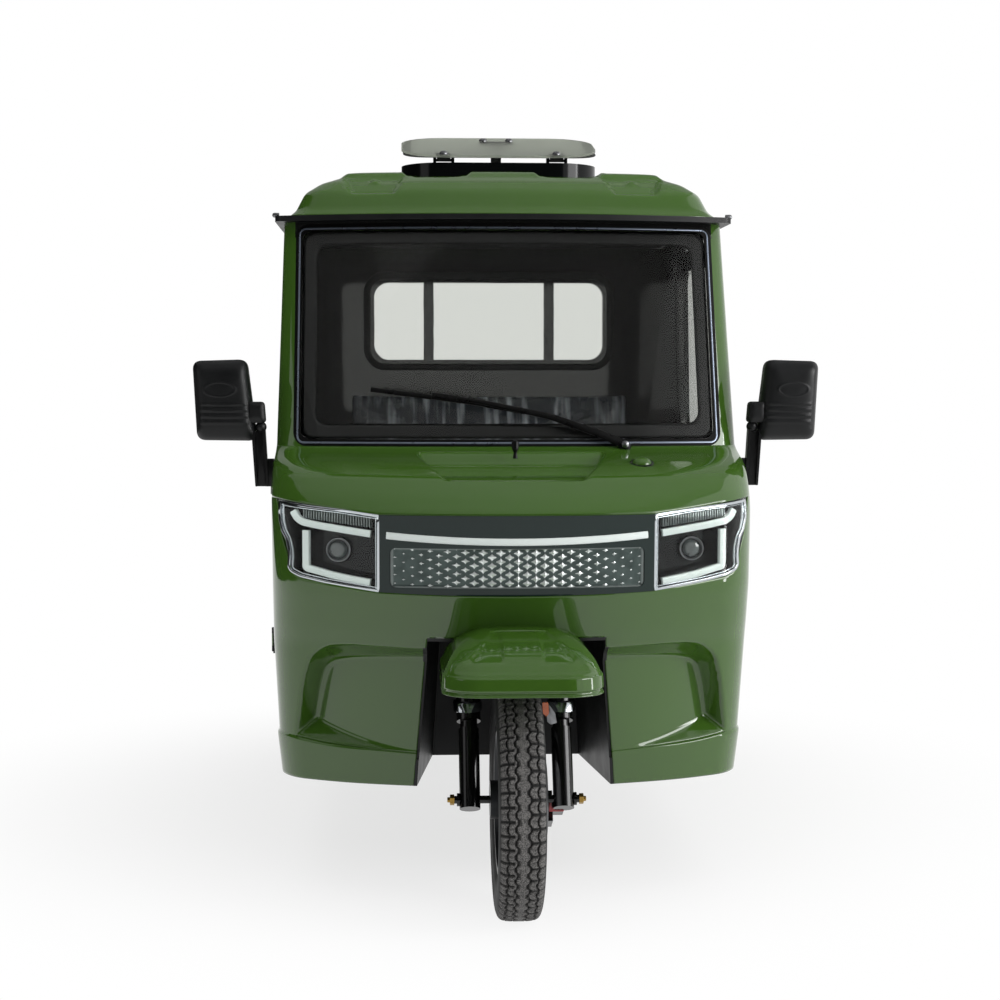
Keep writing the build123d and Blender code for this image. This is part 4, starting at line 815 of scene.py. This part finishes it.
def roof_skin():
    """Green roof: a moulded edge that rolls over to a flat top with pressed ribs, round the hatch opening.

    Rows follow the edge profile, then run level to the hatch frame; columns go round the middle of the hatch
    by angle. The flat top gets the relief: a centre rib and two side pads with channels between them.
    A pocket with a small knob is pressed into the front slope below each pad.
    """
    angle = np.linspace(-math.pi, math.pi, 451)
    profile = smoothed(ROOF_PROFILE, 4, 9)
    corner = np.interp(profile[:, 1], [p[1] for p in ROOF_PROFILE], ROOF_CORNERS)
    rows = []
    for (rise, inward), c in zip(profile, corner):
        plan = (ROOF_HALF - inward, ROOF_FRONT + inward, ROOF_REAR - inward)
        radius = plan_radius(*plan, c, SCREEN_BOW, angle)
        x, y = radius * np.cos(angle), ROOF_MIDDLE + radius * np.sin(angle)
        rows.append(np.stack([x, y, np.full_like(angle, ROOF_BASE + rise)], -1))
    outer = rows[-1]
    hatch = plan_radius(HATCH_HALF - 4, HATCH_FRONT + 4, HATCH_BACK - 4, HATCH_CORNER, 9e5, angle)
    inner = np.stack([hatch * np.cos(angle), ROOF_MIDDLE + hatch * np.sin(angle), outer[:, 2]], -1)
    for t in np.linspace(0, 1, 26)[1:]:
        rows.append(outer + t * (inner - outer))
    grid = np.array(rows)
    x, y = np.abs(grid[..., 0]), grid[..., 1]
    ends = ramp(905, 945, y) * (1 - ramp(1640, 1680, y))
    high = ramp(1735, 1762, grid[..., 2])
    centre_rib = 1 - ramp(78, 96, x)
    pads = ramp(246, 264, x) * (1 - ramp(398, 422, x))
    dimples = np.exp(-(((x - 330) % 36 - 18) ** 2 + ((y - 20) % 60 - 30) ** 2) / 50)
    dimples = np.where((x > 260) & (x < 400), dimples, 0)
    grid[..., 2] += high * ends * (9.5 * np.maximum(centre_rib, pads) - 1.2 * dimples * pads)
    grid[..., 2] -= high * ends * 3 * ramp(100, 120, x) * (1 - ramp(222, 242, x))
    low = grid[..., 2].copy()
    slope = y - (SCREEN_BOW - np.sqrt(SCREEN_BOW**2 - np.minimum(x, 600) ** 2))
    inner_x = 278 - (low - 1712) * 0.5
    outer_x = 390 + (low - 1712) * 0.45
    pocket = ramp(inner_x - 3, inner_x + 5, x) * (1 - ramp(outer_x - 5, outer_x + 3, x))
    pocket *= ramp(1707, 1715, low) * (1 - ramp(905, 935, slope))
    knob = np.exp(-(((x - 330) / 9) ** 2 + ((low - 1746) / 5) ** 2))
    grid[..., 1] += pocket * (9 - 7 * knob)
    grid[..., 2] -= pocket * (5 - 5 * knob)
    down = grid[-1].copy()
    down[:, 2] = ROOF_BASE + 100
    grid = np.concatenate([grid, down[None]])
    surface("roof_skin", [grid[::-1]], PAINT, "body_paint", ["roof_cap"], wall=4, sharp=60)


def screen_frit():
    """Black printed border on the inside of the windscreen: two rounded outlines joined point by point."""
    outer = rounded_box(510, 1096, 1615, 24)
    inner = rounded_box(474, 1132, 1580, 30)
    count = 400
    at = np.linspace(0, 1, count + 1)
    pair = []
    for path in (outer, inner):
        run = np.linspace(0, 1, len(path))
        pair.append(np.stack([np.interp(at, run, path[:, k]) for k in (0, 1)], -1))
    mix = np.linspace(0, 1, 5)[None, :, None]
    flat = pair[0][:, None] * (1 - mix) + pair[1][:, None] * mix
    grid = screen(flat[..., 0], flat[..., 1], -9.6)
    surface("windscreen_border", [grid], FRIT, "black_trim", wall=0.8)


def seal_highlight_bead():
    """Bright bead in the windscreen seal as a painted highlight: a narrow ribbon along a rounded rectangle.
    """
    path = rounded_box(519, 1086, 1622, 16)
    grid = ribbon(path, 2.4, 1.2, -3, screen, closed=True, round_edge=1.2)
    surface("seal_highlight_bead", [grid], SEAL_HIGHLIGHT, "lamp_silver", sharp=50)


def tyre_skin(name, x, y, body, per_wave):
    """Tyre of revolution whose radius drops 6.5 mm in the grooves of its tread.

    Four grooves run round, and each swings from side to side as a sine of TREAD_WAVES periods; cuts of the
    same count part the ribs outside the middle one into blocks. The side walls carry two fine raised rings.
    """
    half = np.array(TYRE_PROFILE, float)
    run = np.concatenate([[0], np.cumsum(np.linalg.norm(np.diff(half, axis=0), axis=1))])
    at = np.interp(np.linspace(0, len(half) - 1, 48), np.arange(len(half)), run)
    half = np.stack([np.interp(at, run, half[:, k]) for k in (0, 1)], -1)
    profile = np.concatenate([half[::-1] * (-1, 1), half[1:]])
    count = TREAD_WAVES * per_wave
    grid = spun(profile, (0, 0, 0), count, "x")
    turn = np.linspace(2 * math.pi, 0, count + 1)[:, None]
    across, radius = profile[:, 0][None], profile[:, 1][None]
    tread = ramp(258, 266, radius)
    wave = np.sin(turn * TREAD_WAVES) + 0.25 * np.sin(turn * TREAD_WAVES * 3)
    groove = np.exp(-(((np.abs(across) - 14 - 3.2 * wave) / 2.7) ** 4))
    groove = np.maximum(groove, np.exp(-(((np.abs(across) - 33 - 2.2 * wave) / 1.9) ** 4)))
    part = (turn * TREAD_WAVES / (2 * math.pi) + 0.25 * np.sign(across)) % 1
    cut = np.exp(-(((part - 0.5) / 0.1) ** 4)) * ramp(17, 20, np.abs(across))
    fine = 0.25 * np.exp(-(((part - 0.95) / 0.05) ** 2)) * ramp(16, 20, np.abs(across))
    sink = 6.5 * tread * np.clip(groove + cut + fine, 0, 1)
    rings = 0.8 * (np.exp(-(((radius - 226) / 1.6) ** 2)) + np.exp(-(((radius - 196) / 1.6) ** 2)))
    factor = (radius - sink) / radius
    grid[..., 0] = across + np.sign(across) * rings * (1 - tread)
    grid[..., 0] = np.clip(grid[..., 0], -TYRE_HALF_WIDTH, TYRE_HALF_WIDTH)
    grid[..., 1:] *= factor[..., None]
    grid += np.array([x, y, TYRE_RADIUS])
    # Share of painted light per point: the tread faces, less the grooves and cuts left as painted shade
    lit_tread = tread * (1 - np.clip(groove + cut + 2 * fine, 0, 1)) + 0 * turn
    finish = {"body": body, "sharp": 35, "marks": [lit_tread]}
    surface(name + "_skin", [grid], TREAD_RUBBER, "tyre_rubber", [name], **finish)


def star_lens():
    """Centre lamp: rows of four-point stars that stand out of a flat ground and grow towards the middle.

    Stars sit on a lattice 20 mm across by 19.7 mm up, with every second column half a step lower. A star is
    where (|u|/a)^0.62 + (|v|/b)^0.62 is under 1, with u, v the distance from its centre, and it rises by
    3.2 mm times what is left to 1. The rows follow the light bar's bow.
    """
    half, low, high, corner = 290, 768, 859, 14
    x = np.linspace(-half, half, 481)[None]
    t = np.linspace(0, 1, 77)[:, None]
    cut = corner - np.sqrt(np.clip(corner**2 - np.clip(np.abs(x) - half + corner, 0, None) ** 2, 0, None))
    cut = np.minimum(cut, corner * 0.9)
    z = low + cut + t * (high - low - 2 * cut)
    x = x + 0 * z
    bowed = z + 9 * (1 - (x / half) ** 2) - 5
    column = np.round(x / 20)
    u = x - column * 20
    shift = np.where(column % 2 == 0, 0, 9.85)
    v = (bowed - 813.5 + shift + 9.85) % 19.7 - 9.85
    near = np.clip(1.25 - np.abs(column * 20) / 260, 0.25, 1)
    a, b = 18.5 * near, 10.5 * near
    star = np.clip(1 - ((np.abs(u) / a) ** 0.62 + (np.abs(v) / b) ** 0.62), 0, 1)
    inside = ramp(770, 774, z) * (1 - ramp(854, 858, z)) * (1 - ramp(281, 286, np.abs(x)))
    star = star * inside
    out = -3 - 2.5 * inside + 3.2 * star
    pad = ((1, 1), (1, 1))
    edge_x, edge_z = np.pad(x, pad, "edge"), np.pad(z, pad, "edge")
    deep = np.pad(out, pad, constant_values=-12)
    grid = front(edge_x, edge_z, deep)
    bright = np.pad(np.clip(star * 5, 0, 1) + 0.12 * (1 - inside), pad)
    surface("star_lens", [grid], STARS, "white_lens", ["light_guides"], sharp=30, weld=0.01, marks=[bright])


def light_strips():
    """White light guides: the bowed bar over the centre lamp, and a C in each headlamp whose upper arm ends
    in an upturned tail. Each arm of the C stands on a thinner black web, as painted shade on its sides."""
    x = np.linspace(-298, 298, 120)
    bar = np.stack([x, 887 - 13 * (1 - (x / 298) ** 2)], -1)
    grids = [ribbon(bar, 8.5, 0, -15, front)]
    upper = smoothed([(337, 889), (453, 904.5), (497, 912), (511, 921), (520, 936)], 2, 6)
    lower = smoothed([(338, 777.5), (381, 783.5), (424, 791), (459, 799.5), (489, 806), (488.5, 893)], 2, 5)
    shade_webs = []
    for path in (upper, lower):
        made = ribbon(path, 8, -8, -17, front)
        grids += [made, mirrored(made)]
        # Black webs behind the guides darken their sides as painted shade
        web = ribbon(path, 4, -16, -46, front)
        shade_webs += [web, mirrored(web)]
    surface("guide_shade_webs", shade_webs, LAMP_BLACK, "dark_gloss", ["light_guides"], sharp=50)
    surface("light_strips", grids, GUIDE, "white_lens", ["light_guides"], sharp=50)


def lamp_bezels():
    """Silver outline of each headlamp with its S-shaped outer edge, and a second fine line inside it."""
    path = smoothed(LAMP_OUTLINE, 3, 4, closed=True)
    grids = []
    for half, face, shift in ((3.0, 0.5, 2.5), (1.3, -4, 9)):
        inner = path + shift * left_of(path, True)
        made = ribbon(inner, half, face, -9, front, closed=True, round_edge=0.9)
        grids += [made, mirrored(made)]
    surface("lamp_bezels", grids, CHROME, "lamp_silver", sharp=50)


def lamp_bowls():
    """Black lamp bodies: a wall back from the outline, a floor 46 mm in, and a comb of fins at the top.

    The comb is a band whose depth steps between two levels every 3 mm, with painted light on its fins.
    """
    path = smoothed(LAMP_OUTLINE, 3, 4, closed=True)
    inner = filled(path, 10)
    wall = front(*np.moveaxis(inner[:1], -1, 0), -6.0)
    floor = front(*np.moveaxis(inner, -1, 0), -46.0)
    bowl = np.concatenate([wall, floor])
    x = np.linspace(334, 498, 400)[None]
    t = np.linspace(0, 1, 6)[:, None]
    low = 903 + (x - 334) * 0.118
    fin = np.clip(((x / 6.2) % 1 - 0.5) * 14, -1, 1) * 0.5 + 0.5
    deep = np.pad(-24 + 12 * (fin + 0 * t), ((1, 1), (0, 0)), constant_values=-44)
    z = np.pad(low + t * 21, ((1, 1), (0, 0)), "edge")
    comb = front(x + 0 * z, z, deep)
    # Painted light on the forward fin faces, painted shade in the gaps between them
    fin_light = np.pad(0.16 * (fin + 0 * t), ((1, 1), (0, 0)))
    combs, marks = [comb, mirrored(comb)], [fin_light, fin_light[:, ::-1]]
    surface("lamp_combs", combs, STARS, "lamp_silver", ["headlamp_housings"], sharp=30, marks=marks)
    grids = [bowl, mirrored(bowl)]
    surface("lamp_bowls", grids, LAMP_BLACK, "dark_gloss", ["headlamp_housings"], wall=1.5, sharp=30)


def projectors():
    """Low-beam units: a bright ring round a glass ball, on a tapered black tube down to the lamp's floor."""
    y = float(front(PROJECTOR_X, PROJECTOR_Z)[1])
    tube = [(y + 120, 30), (y + 52, 31), (y + 34, 30), (y + 30, 28)]
    ring = [(y + 30, 28), (y + 28, 27.3), (y + 28.5, 25.5), (y + 33, 24), (y + 36, 22)]
    a = np.linspace(0, math.pi / 2, 12)
    ball = np.stack([y + 40 - 14 * np.sin(a), np.maximum(22.5 * np.cos(a), 0.05)], -1)
    for name, profile, finish, slot in (
        ("projector_tubes", tube, LAMP_BLACK, "dark_gloss"),
        ("projector_rings", ring, STEEL, "lamp_silver"),
        ("projector_glass", ball, BALL, "dark_gloss"),
    ):
        grid = spun(profile, (PROJECTOR_X, 0, PROJECTOR_Z), 64, "y")[::-1]
        surface(name, [grid, mirrored(grid)], finish, slot, sharp=50)


def mirror_heads():
    """Mirror housings: a rounded, slightly leaning outline; the front is domed and the sides draw back.

    Rows shrink from the outline to its middle by r, and y = 659.5 + 24 r^9 + 6 r^2. The lower part carries
    horizontal ribs, and above them lies an oval ring.
    """
    corners = [(618, 1090), (764, 1092), (774, 1286), (642, 1290)]
    path = smoothed(corners, 4, 20, closed=True)
    shrink = np.concatenate([[1.0, 0.99], np.linspace(0.98, 0, 60)])
    grid = stacked(path, [(1.0, 721.0)] + [(r, 659.5 + 24 * r**9 + 6 * r**2) for r in shrink])
    x, z = grid[..., 0], grid[..., 2]
    inside = ramp(634, 640, x) * (1 - ramp(750, 756, x))
    ribs = ramp(1126, 1130, z) * (1 - ramp(1180, 1184, z)) * np.sin((z - 1128) / 54 * math.pi * 3.5) ** 2
    oval = np.sqrt(((x - 706) / 38) ** 2 + ((z - 1216) / 17) ** 2)
    ring = np.exp(-(((oval - 1) / 0.09) ** 2))
    grid[..., 1] -= 2.6 * ribs * inside + 1.2 * ring
    grid[..., 1] = np.maximum(grid[..., 1], 659)
    back = grid[:1].copy()
    back[..., 1] = 721
    middle = path[:-1].mean(0)
    inset = middle + 0.93 * (path - middle)
    rim = np.concatenate([stacked(inset, [(1.0, 721.0)]), back])
    # Rounded neck that joins the head to its arm, and the ball joint below it
    neck_path = smoothed([(596, 1134), (640, 1134), (640, 1186), (600, 1186)], 2, 9, closed=True)
    shrink = np.concatenate([[1.0], np.linspace(0.97, 0, 12)])
    neck = stacked(neck_path, [(1.0, 712.0)] + [(r, 668 + 7 * r**4) for r in shrink])
    turn = np.linspace(0, math.pi, 14)
    arc = np.stack([1124 - 14 * np.cos(turn), np.maximum(14 * np.sin(turn), 0.05)], -1)
    ball = spun(arc, (608, 690, 0), 32, "z")
    grids = [grid, rim, neck, ball]
    grids += [mirrored(g) for g in grids]
    surface("mirror_heads", grids, TRIM, "black_trim", ["mirrors"], sharp=50)
    plate = stacked(inset, [(r, 719.0) for r in np.linspace(1, 0, 4)])[:, ::-1]
    surface("mirror_glass", [plate, mirrored(plate)], MIRROR_GLASS, "lamp_silver", wall=2)


def mirror_arms():
    """Mirror arms: a channel with two flanges that leans out, its foot plate on the door post."""
    x = CAB_HALF + 1
    web = upright([(x + 17, 978), (x + 48, 978), (x + 56, 1114), (x + 24, 1114)], 684, 700)
    flange_in = upright([(x + 16, 978), (x + 22, 978), (x + 31, 1118), (x + 24, 1118)], 676, 700, 1.5)
    flange_out = upright([(x + 43, 978), (x + 49, 978), (x + 58, 1118), (x + 51, 1118)], 676, 700, 1.5)
    foot = upright([(x - 3, 978), (x + 26, 978), (x + 28, 1046), (x - 3, 1046)], 680, 702, 2)
    grids = [web, flange_in, flange_out, foot]
    grids += [mirrored(g) for g in grids]
    surface("mirror_arms", grids, FRAME_PAINT, "black_trim", ["mirrors"], sharp=40)


def wiper():
    """Wiper: pivot cap, tapering pressed arm, and the blade with its frame and rubber."""
    arm = smoothed([(282, 1082), (222, 1108), (100, 1150), (-60, 1184), (-128, 1195)], 4, 12)
    share = np.linspace(0, 1, len(arm))
    blade = smoothed([(-338, 1216), (-120, 1189), (100, 1151)], 5, 10)
    grids = [
        ribbon(arm, 10.5 - 5.5 * share, 25 - 2 * share, 14, screen, round_edge=3),
        ribbon(blade, 6, 15, 7, screen, round_edge=2),
        ribbon(blade, 1.6, 8, 0.5, screen, round_edge=0.3),
        ribbon(smoothed([(-190, 1201), (-60, 1183)], 5, 1), 9, 21, 8, screen, round_edge=3),
    ]
    place = screen(280, 1076)
    cap = spun([(-2, 0.1), (-2, 17), (20, 16), (26, 14), (29, 10), (30, 0.1)], (0, 0, 0), 40, "y")
    grids.append(cap[::-1] * (1, -1, 1) + np.array([280, place[1] + 4, 1076]))
    nut = spun([(0, 0.1), (0, 9), (9, 8.5), (12, 5), (13, 0.1)], (0, 0, 0), 36, "y")[::-1] * (1, -1, 1)
    surface("wiper_nut", [nut + screen(281, 1083) - (0, 24, 0)], STEEL, "disc_steel", sharp=40)
    surface("wiper_set", grids, WIPER_BLACK, "black_trim", ["wiper"], sharp=45)


def washer_jet():
    """Washer jet on the cowl: a small tapered peg with a cap."""
    foot = front(8, 1056)
    profile = [(-4, 6), (4, 5), (8, 4), (14, 5), (17, 8), (34, 8.5), (38, 6), (39, 0.1)]
    grid = spun(profile, (8, foot[1] + 8, foot[2]), 28, "z")
    surface("washer_jet", [grid], WIPER_BLACK, "black_trim", sharp=40)


def hatch_trim():
    """Black printed band under the hatch glass, and the four bolt caps on top of it."""
    half, front_y, back_y = HATCH_HALF, HATCH_FRONT, HATCH_BACK
    path = [(-half, front_y), (half, front_y), (half, back_y), (-half, back_y)]
    outer = smoothed(path, 5, 62, closed=True)
    middle = outer[:-1].mean(0)
    band = middle + np.linspace(0.985, 0.9, 5)[:, None, None] * (outer - middle)
    grid = tilted(np.stack([band[..., 0], band[..., 1], np.full(band.shape[:2], 1831.4)], -1))
    surface("hatch_border", [grid], FRIT, "black_trim", body="hatch", wall=0.5)
    cap = [(1838, 11), (1841, 10.5), (1845, 7), (1846, 0.1)]
    places = ((-150, 1088), (150, 1088), (-36, 1330), (36, 1330))
    grids = [tilted(spun(cap, (x, y, 0), 24, "z")) for x, y in places]
    surface("hatch_bolts", grids, STEEL, "black_trim", body="hatch", sharp=50)


def axle_nuts():
    """Yellow nuts on the front axle. The hexagon's radius is divided by the cos of the angle to a flat."""
    axle = (FRONT_AXLE_Y, TYRE_RADIUS)
    grids = []
    turn = np.linspace(2 * math.pi, 0, 73)
    hexagon = np.cos(math.pi / 6) / np.cos((turn + math.pi / 6) % (math.pi / 3) - math.pi / 6)
    for low, high, radius in ((144, 154, 12.5), (154, 160, 6)):
        profile = [(low, radius), (high - 1, radius), (high, radius - 1), (high, 0.1)]
        grid = spun(profile, (0, *axle), 72, "x")
        if radius > 10:
            grid[..., 1:] = (grid[..., 1:] - axle) * hexagon[:, None, None] + axle
        grids.append(grid)
    grids += [mirrored(g) for g in grids]
    surface("axle_nuts", grids, ZINC, "disc_steel", body="steering", sharp=25)


def gutter_ends():
    """Rounded rivet at each front end of the roof gutter."""
    profile = [(574, 0.1), (574, 6), (586, 6.5), (590, 5), (592, 0.1)]
    grid = spun(profile, (0, 908, 1660), 28, "x")
    surface("gutter_ends", [grid, mirrored(grid)], STEEL, "disc_steel", sharp=50)


def cowl_cap():
    """Green domed cap over the spare wiper spindle hole, in a black ring on the cowl."""
    place = front(305, 1042)
    slope = np.array([0, -0.3, 0.95])
    across = np.array([0, 0.95, 0.3])
    for name, profile, finish, slot in (
        ("cowl_ring", [(29, -6), (29, 2), (26, 4), (22, 2)], LAMP_BLACK, "black_trim"),
        ("cowl_cap", [(23, -6), (23, 3), (20, 8), (14, 12), (7, 14), (0.05, 14.5)], PAINT, "body_paint"),
    ):
        radius, rise = np.array(profile, float).T
        turn = np.linspace(0, 2 * math.pi, 41)[None, :, None]
        around = np.cos(turn) * np.array([1.0, 0, 0]) + np.sin(turn) * across
        grid = place + rise[:, None, None] * slope + radius[:, None, None] * around
        surface(name, [grid], finish, slot, sharp=50)


def fork_caps():
    """Bright cups round the fork legs under the visor: y grows by FORK_RAKE per mm of height."""
    grids = []
    for x in (-CUP_X, CUP_X):
        grid = spun([(464, 29), (466, 33), (486, 34), (490, 31), (491, 24)], (x, FRONT_AXLE_Y, 0), 48, "z")
        grid[..., 1] += (grid[..., 2] - TYRE_RADIUS) * FORK_RAKE
        grids.append(grid)
    surface("fork_cups", grids, CHROME, "disc_steel", body="steering", sharp=40)


def brake_cover():
    """Red end of the brake caliper under the right-hand fork leg."""
    grid = upright([(74, 243), (110, 243), (113, 262), (76, 264)], 318, 352, 3)
    surface("caliper_end", [grid], RED_PAINT, "red_lens", body="steering", sharp=40)


def side_reflector():
    """Amber reflector and its grey bracket between the wheel and the right-hand fork leg."""
    amber = upright([(52, 492), (60, 486), (66, 492), (64, 518), (50, 518)], 196, 204, 2)
    surface("reflector", [amber], AMBER, "red_lens", body="steering", sharp=40)
    strap = upright([(62, 472), (70, 466), (84, 470), (80, 492), (66, 512), (60, 508)], 204, 209, 1.5)
    surface("reflector_bracket", [strap], STEEL, "disc_steel", body="steering", sharp=40)


def seat_pad(name, corners, rear):
    """Pad from eight corners: cut into voxels, blown up by cloth pressure, then smoothed once."""
    mesh = bpy.data.meshes.new(name)
    sides = [(0, 3, 2, 1), (4, 5, 6, 7), (0, 1, 5, 4), (1, 2, 6, 5), (2, 3, 7, 6), (3, 0, 4, 7)]
    mesh.from_pydata(placed(corners).tolist(), [], sides)
    pad = in_scene(name, mesh)
    remesh = pad.modifiers.new("voxels", "REMESH")
    remesh.mode = "VOXEL"
    remesh.voxel_size = PAD_VOXEL
    deps = bpy.context.evaluated_depsgraph_get()
    pad.data = bpy.data.meshes.new_from_object(pad.evaluated_get(deps))
    pad.modifiers.clear()
    start = np.empty(len(pad.data.vertices) * 3, np.float32)
    pad.data.vertices.foreach_get("co", start)
    cloth = pad.modifiers.new("cloth", "CLOTH")
    cloth.settings.quality = 4
    cloth.settings.use_pressure = True
    cloth.settings.uniform_pressure_force = 4
    cloth.settings.effector_weights.gravity = 0
    cloth.settings.mass = 0.4
    for number in range(1, 21):
        bpy.context.scene.frame_set(number)
    deps = bpy.context.evaluated_depsgraph_get()
    blown = bpy.data.meshes.new_from_object(pad.evaluated_get(deps))
    pad.modifiers.clear()
    pad.data = blown
    bpy.context.scene.frame_set(1)
    now = np.empty_like(start)
    pad.data.vertices.foreach_get("co", now)
    start, now = start.reshape(-1, 3), now.reshape(-1, 3)
    move = now - start
    far = np.linalg.norm(move, axis=1, keepdims=True)
    move *= np.minimum(1, PAD_SWELL / np.maximum(far, 1e-9))
    at = start + move
    low, high = placed([(-432, 1215, 611), (432, 1775, 1213)])
    at = np.clip(at, low, high)
    # Three sewn channels across the width, pressed into the face towards the cab
    for x in (-216, 0, 216):
        groove = np.exp(-(((at[:, 0] * 1000 - x) / 9) ** 2))
        inward = np.array([0, CHANNEL, 0]) if rear else np.array([0, 0, -CHANNEL])
        facing = (at[:, 1] < np.median(at[:, 1])) if rear else (at[:, 2] > np.median(at[:, 2]))
        at += (groove * facing)[:, None] * inward
    pad.data.vertices.foreach_set("co", at.reshape(-1).astype(np.float32))
    pad.data.shade_smooth()
    pad.data.materials.clear()
    pad.data.materials.append(VINYL)
    pad.modifiers.new("smooth", "SUBSURF").levels = 1
    pad.modifiers["smooth"].render_levels = 1
    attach(pad, "chassis")
    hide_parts("bench_seat")


def seat():
    """Bench cushion and slanted backrest, each a little smaller than the CAD solid before it is blown up."""
    for name, side_view, rear in (
        ("seat_cushion", [(1224, 614), (1764, 614), (1764, 712), (1224, 712)], False),
        ("seat_backrest", [(1655, 728), (1769, 728), (1769, 1205), (1725, 1205)], True),
    ):
        seat_pad(name, [(x, y, z) for x in (-424, 424) for y, z in side_view], rear)


def rear_wall_ribs():
    """Pressed frame round the window on the inside of the rear wall: a bead along a rounded rectangle."""
    ring = rounded_box(368, 1281, 1557, 55)

    def wall(x, z, out):
        return np.stack([x, 1775 - out, z], -1)

    grids = [bead(ring, (10, 6, 0, -6, -10), (0, 4, 5, 4, 0), wall, True)]
    # Near-black painted shade, as on the cab's other inside faces
    surface("wall_relief", grids, INSIDE_SHADE, "body_paint", sharp=60)


def camera():
    """The photo's view: its lens, height and distance, turned towards the vanishing point it shows."""
    lens = bpy.data.cameras.new("camera")
    lens.sensor_width = 36
    lens.sensor_fit = "HORIZONTAL"
    lens.lens = 36 * FOCAL_PX / 1000
    lens.clip_start = 0.05
    lens.clip_end = 200
    eye = in_scene("camera", lens)
    yaw = math.atan((500 - VANISH_PX[0]) / FOCAL_PX)
    pitch = math.atan((500 - VANISH_PX[1]) / FOCAL_PX)
    ahead = Vector((math.sin(yaw) * math.cos(pitch), math.cos(yaw) * math.cos(pitch), -math.sin(pitch)))
    eye.rotation_mode = "QUATERNION"
    eye.rotation_quaternion = ahead.to_track_quat("-Z", "Y")
    eye.location = placed(EYE)
    bpy.context.scene.camera = eye


def white_when_seen(tree, shader, share=None):
    """Mixes a surface with plain white where a camera, mirror or glass ray meets it, by share."""
    rays = node(tree, "LightPath").outputs
    factor = rays["Is Camera Ray"]
    for ray in ("Is Glossy Ray", "Is Transmission Ray"):
        factor = node(tree, "Math", {0: factor, 1: rays[ray]}, operation="MAXIMUM").outputs[0]
    if share:
        factor = node(tree, "Math", {0: factor, 1: share}, operation="MULTIPLY").outputs[0]
    white = node(tree, "Emission", {"Color": linear("#ffffff"), "Strength": 1.0})
    return node(tree, "MixShader", {0: factor, 1: shader, 2: white.outputs[0]}).outputs[0]


def sheet(name, corners, finish):
    """Flat quad of one material that belongs to the studio."""
    mesh = bpy.data.meshes.new(name)
    mesh.from_pydata(corners, [], [(0, 1, 2, 3)])
    mesh.materials.append(finish)
    made = in_scene(name, mesh)
    return made


def studio():
    """Pale floor that fades to white away from the object, white surround, three soft lamps, one narrow."""
    scene = bpy.context.scene
    scene.view_settings.view_transform = "Standard"
    paint = material("matt_floor_paint", "#f4f4f4", Roughness=0.7)
    tree = paint.node_tree
    place = node(tree, "TexCoord").outputs["Object"]
    reach = node(tree, "VectorMath", {0: place}, operation="LENGTH").outputs["Value"]
    limits = {"Value": reach, "From Min": 0.6, "From Max": 2.0, "To Min": 0.72}
    away = node(tree, "MapRange", limits, interpolation_type="SMOOTHSTEP").outputs[0]
    seen = white_when_seen(tree, tree.nodes["Principled BSDF"].outputs[0], away)
    tree.links.new(seen, tree.nodes["Material Output"].inputs["Surface"])
    sheet("floor", [(-FLOOR, -FLOOR, 0), (FLOOR, -FLOOR, 0), (FLOOR, FLOOR, 0), (-FLOOR, FLOOR, 0)], paint)
    # Dark curtains in front, on the left and overhead, met only by reflections, give the gloss its contrast
    velvet = material("black_velvet", "#0c0d0d", "#131414", 400, Roughness=0.95)
    calico = material("grey_calico", "#dcdcdc", "#d2d2d2", 400, Roughness=0.95)
    left, right, near, far, up = -5, 4.4, -8.5, 20, 6.5
    for name, cloth, corners in (
        ("curtain_front", velvet, [(left, near, 0), (right, near, 0), (right, near, up), (left, near, up)]),
        ("curtain_left", velvet, [(left, far, 0), (left, near, 0), (left, near, up), (left, far, up)]),
        ("curtain_above", calico, [(left, far, up), (left, near, up), (right, near, up), (right, far, up)]),
    ):
        curtain = sheet(name, corners, cloth)
        curtain.visible_camera = False
        curtain.visible_diffuse = False
        curtain.visible_transmission = False
        curtain.visible_shadow = False
    world = bpy.data.worlds.new("studio")
    scene.world = world
    world.use_nodes = True
    tree = world.node_tree
    tree.nodes.clear()
    lit = node(tree, "Background", {"Color": linear("#ffffff"), "Strength": 0.42})
    node(tree, "OutputWorld", {"Surface": white_when_seen(tree, lit.outputs[0])})
    for name, place, aim, size, tall, watts in (
        ("top", (0.2, -0.6, 4.8), (0, 0, 0.8), 5.6, 5.6, 118),
        ("left", (-4.6, -3.0, 2.4), (0, -0.6, 0.9), 2.6, 2.6, 18),
        ("right", (4.2, -3.4, 2.6), (0, -0.6, 0.9), 2.4, 2.4, 128),
        ("strip", (3.4, -1.9, 1.3), (0.5, -0.9, 1.0), 0.3, 2.4, 22),
    ):
        data = bpy.data.lights.new(name, "AREA")
        data.shape = "RECTANGLE"
        data.size = size
        data.size_y = tall
        data.energy = watts
        lamp = in_scene(name, data)
        lamp.location = place
        lamp.visible_glossy = name != "top"
        lamp.rotation_mode = "QUATERNION"
        lamp.rotation_quaternion = (Vector(aim) - Vector(place)).to_track_quat("-Z", "Y")


nose_skin()
hinges()
visor()
roof_skin()
screen_frit()
seal_highlight_bead()
gutter_ends()
cowl_cap()
fork_caps()
for name, x, y, body, per_wave in (
    ("front_tyre", 0, FRONT_AXLE_Y, "front_wheel", 10),
    ("rear_tyre_left", REAR_TRACK / 2, REAR_AXLE_Y, "rear_wheel_left", 7),
    ("rear_tyre_right", -REAR_TRACK / 2, REAR_AXLE_Y, "rear_wheel_right", 7),
):
    tyre_skin(name, x, y, body, per_wave)
star_lens()
light_strips()
lamp_bezels()
lamp_bowls()
projectors()
mirror_heads()
mirror_arms()
wiper()
washer_jet()
hatch_trim()
axle_nuts()
brake_cover()
side_reflector()
seat()
rear_wall_ribs()
camera()
studio()
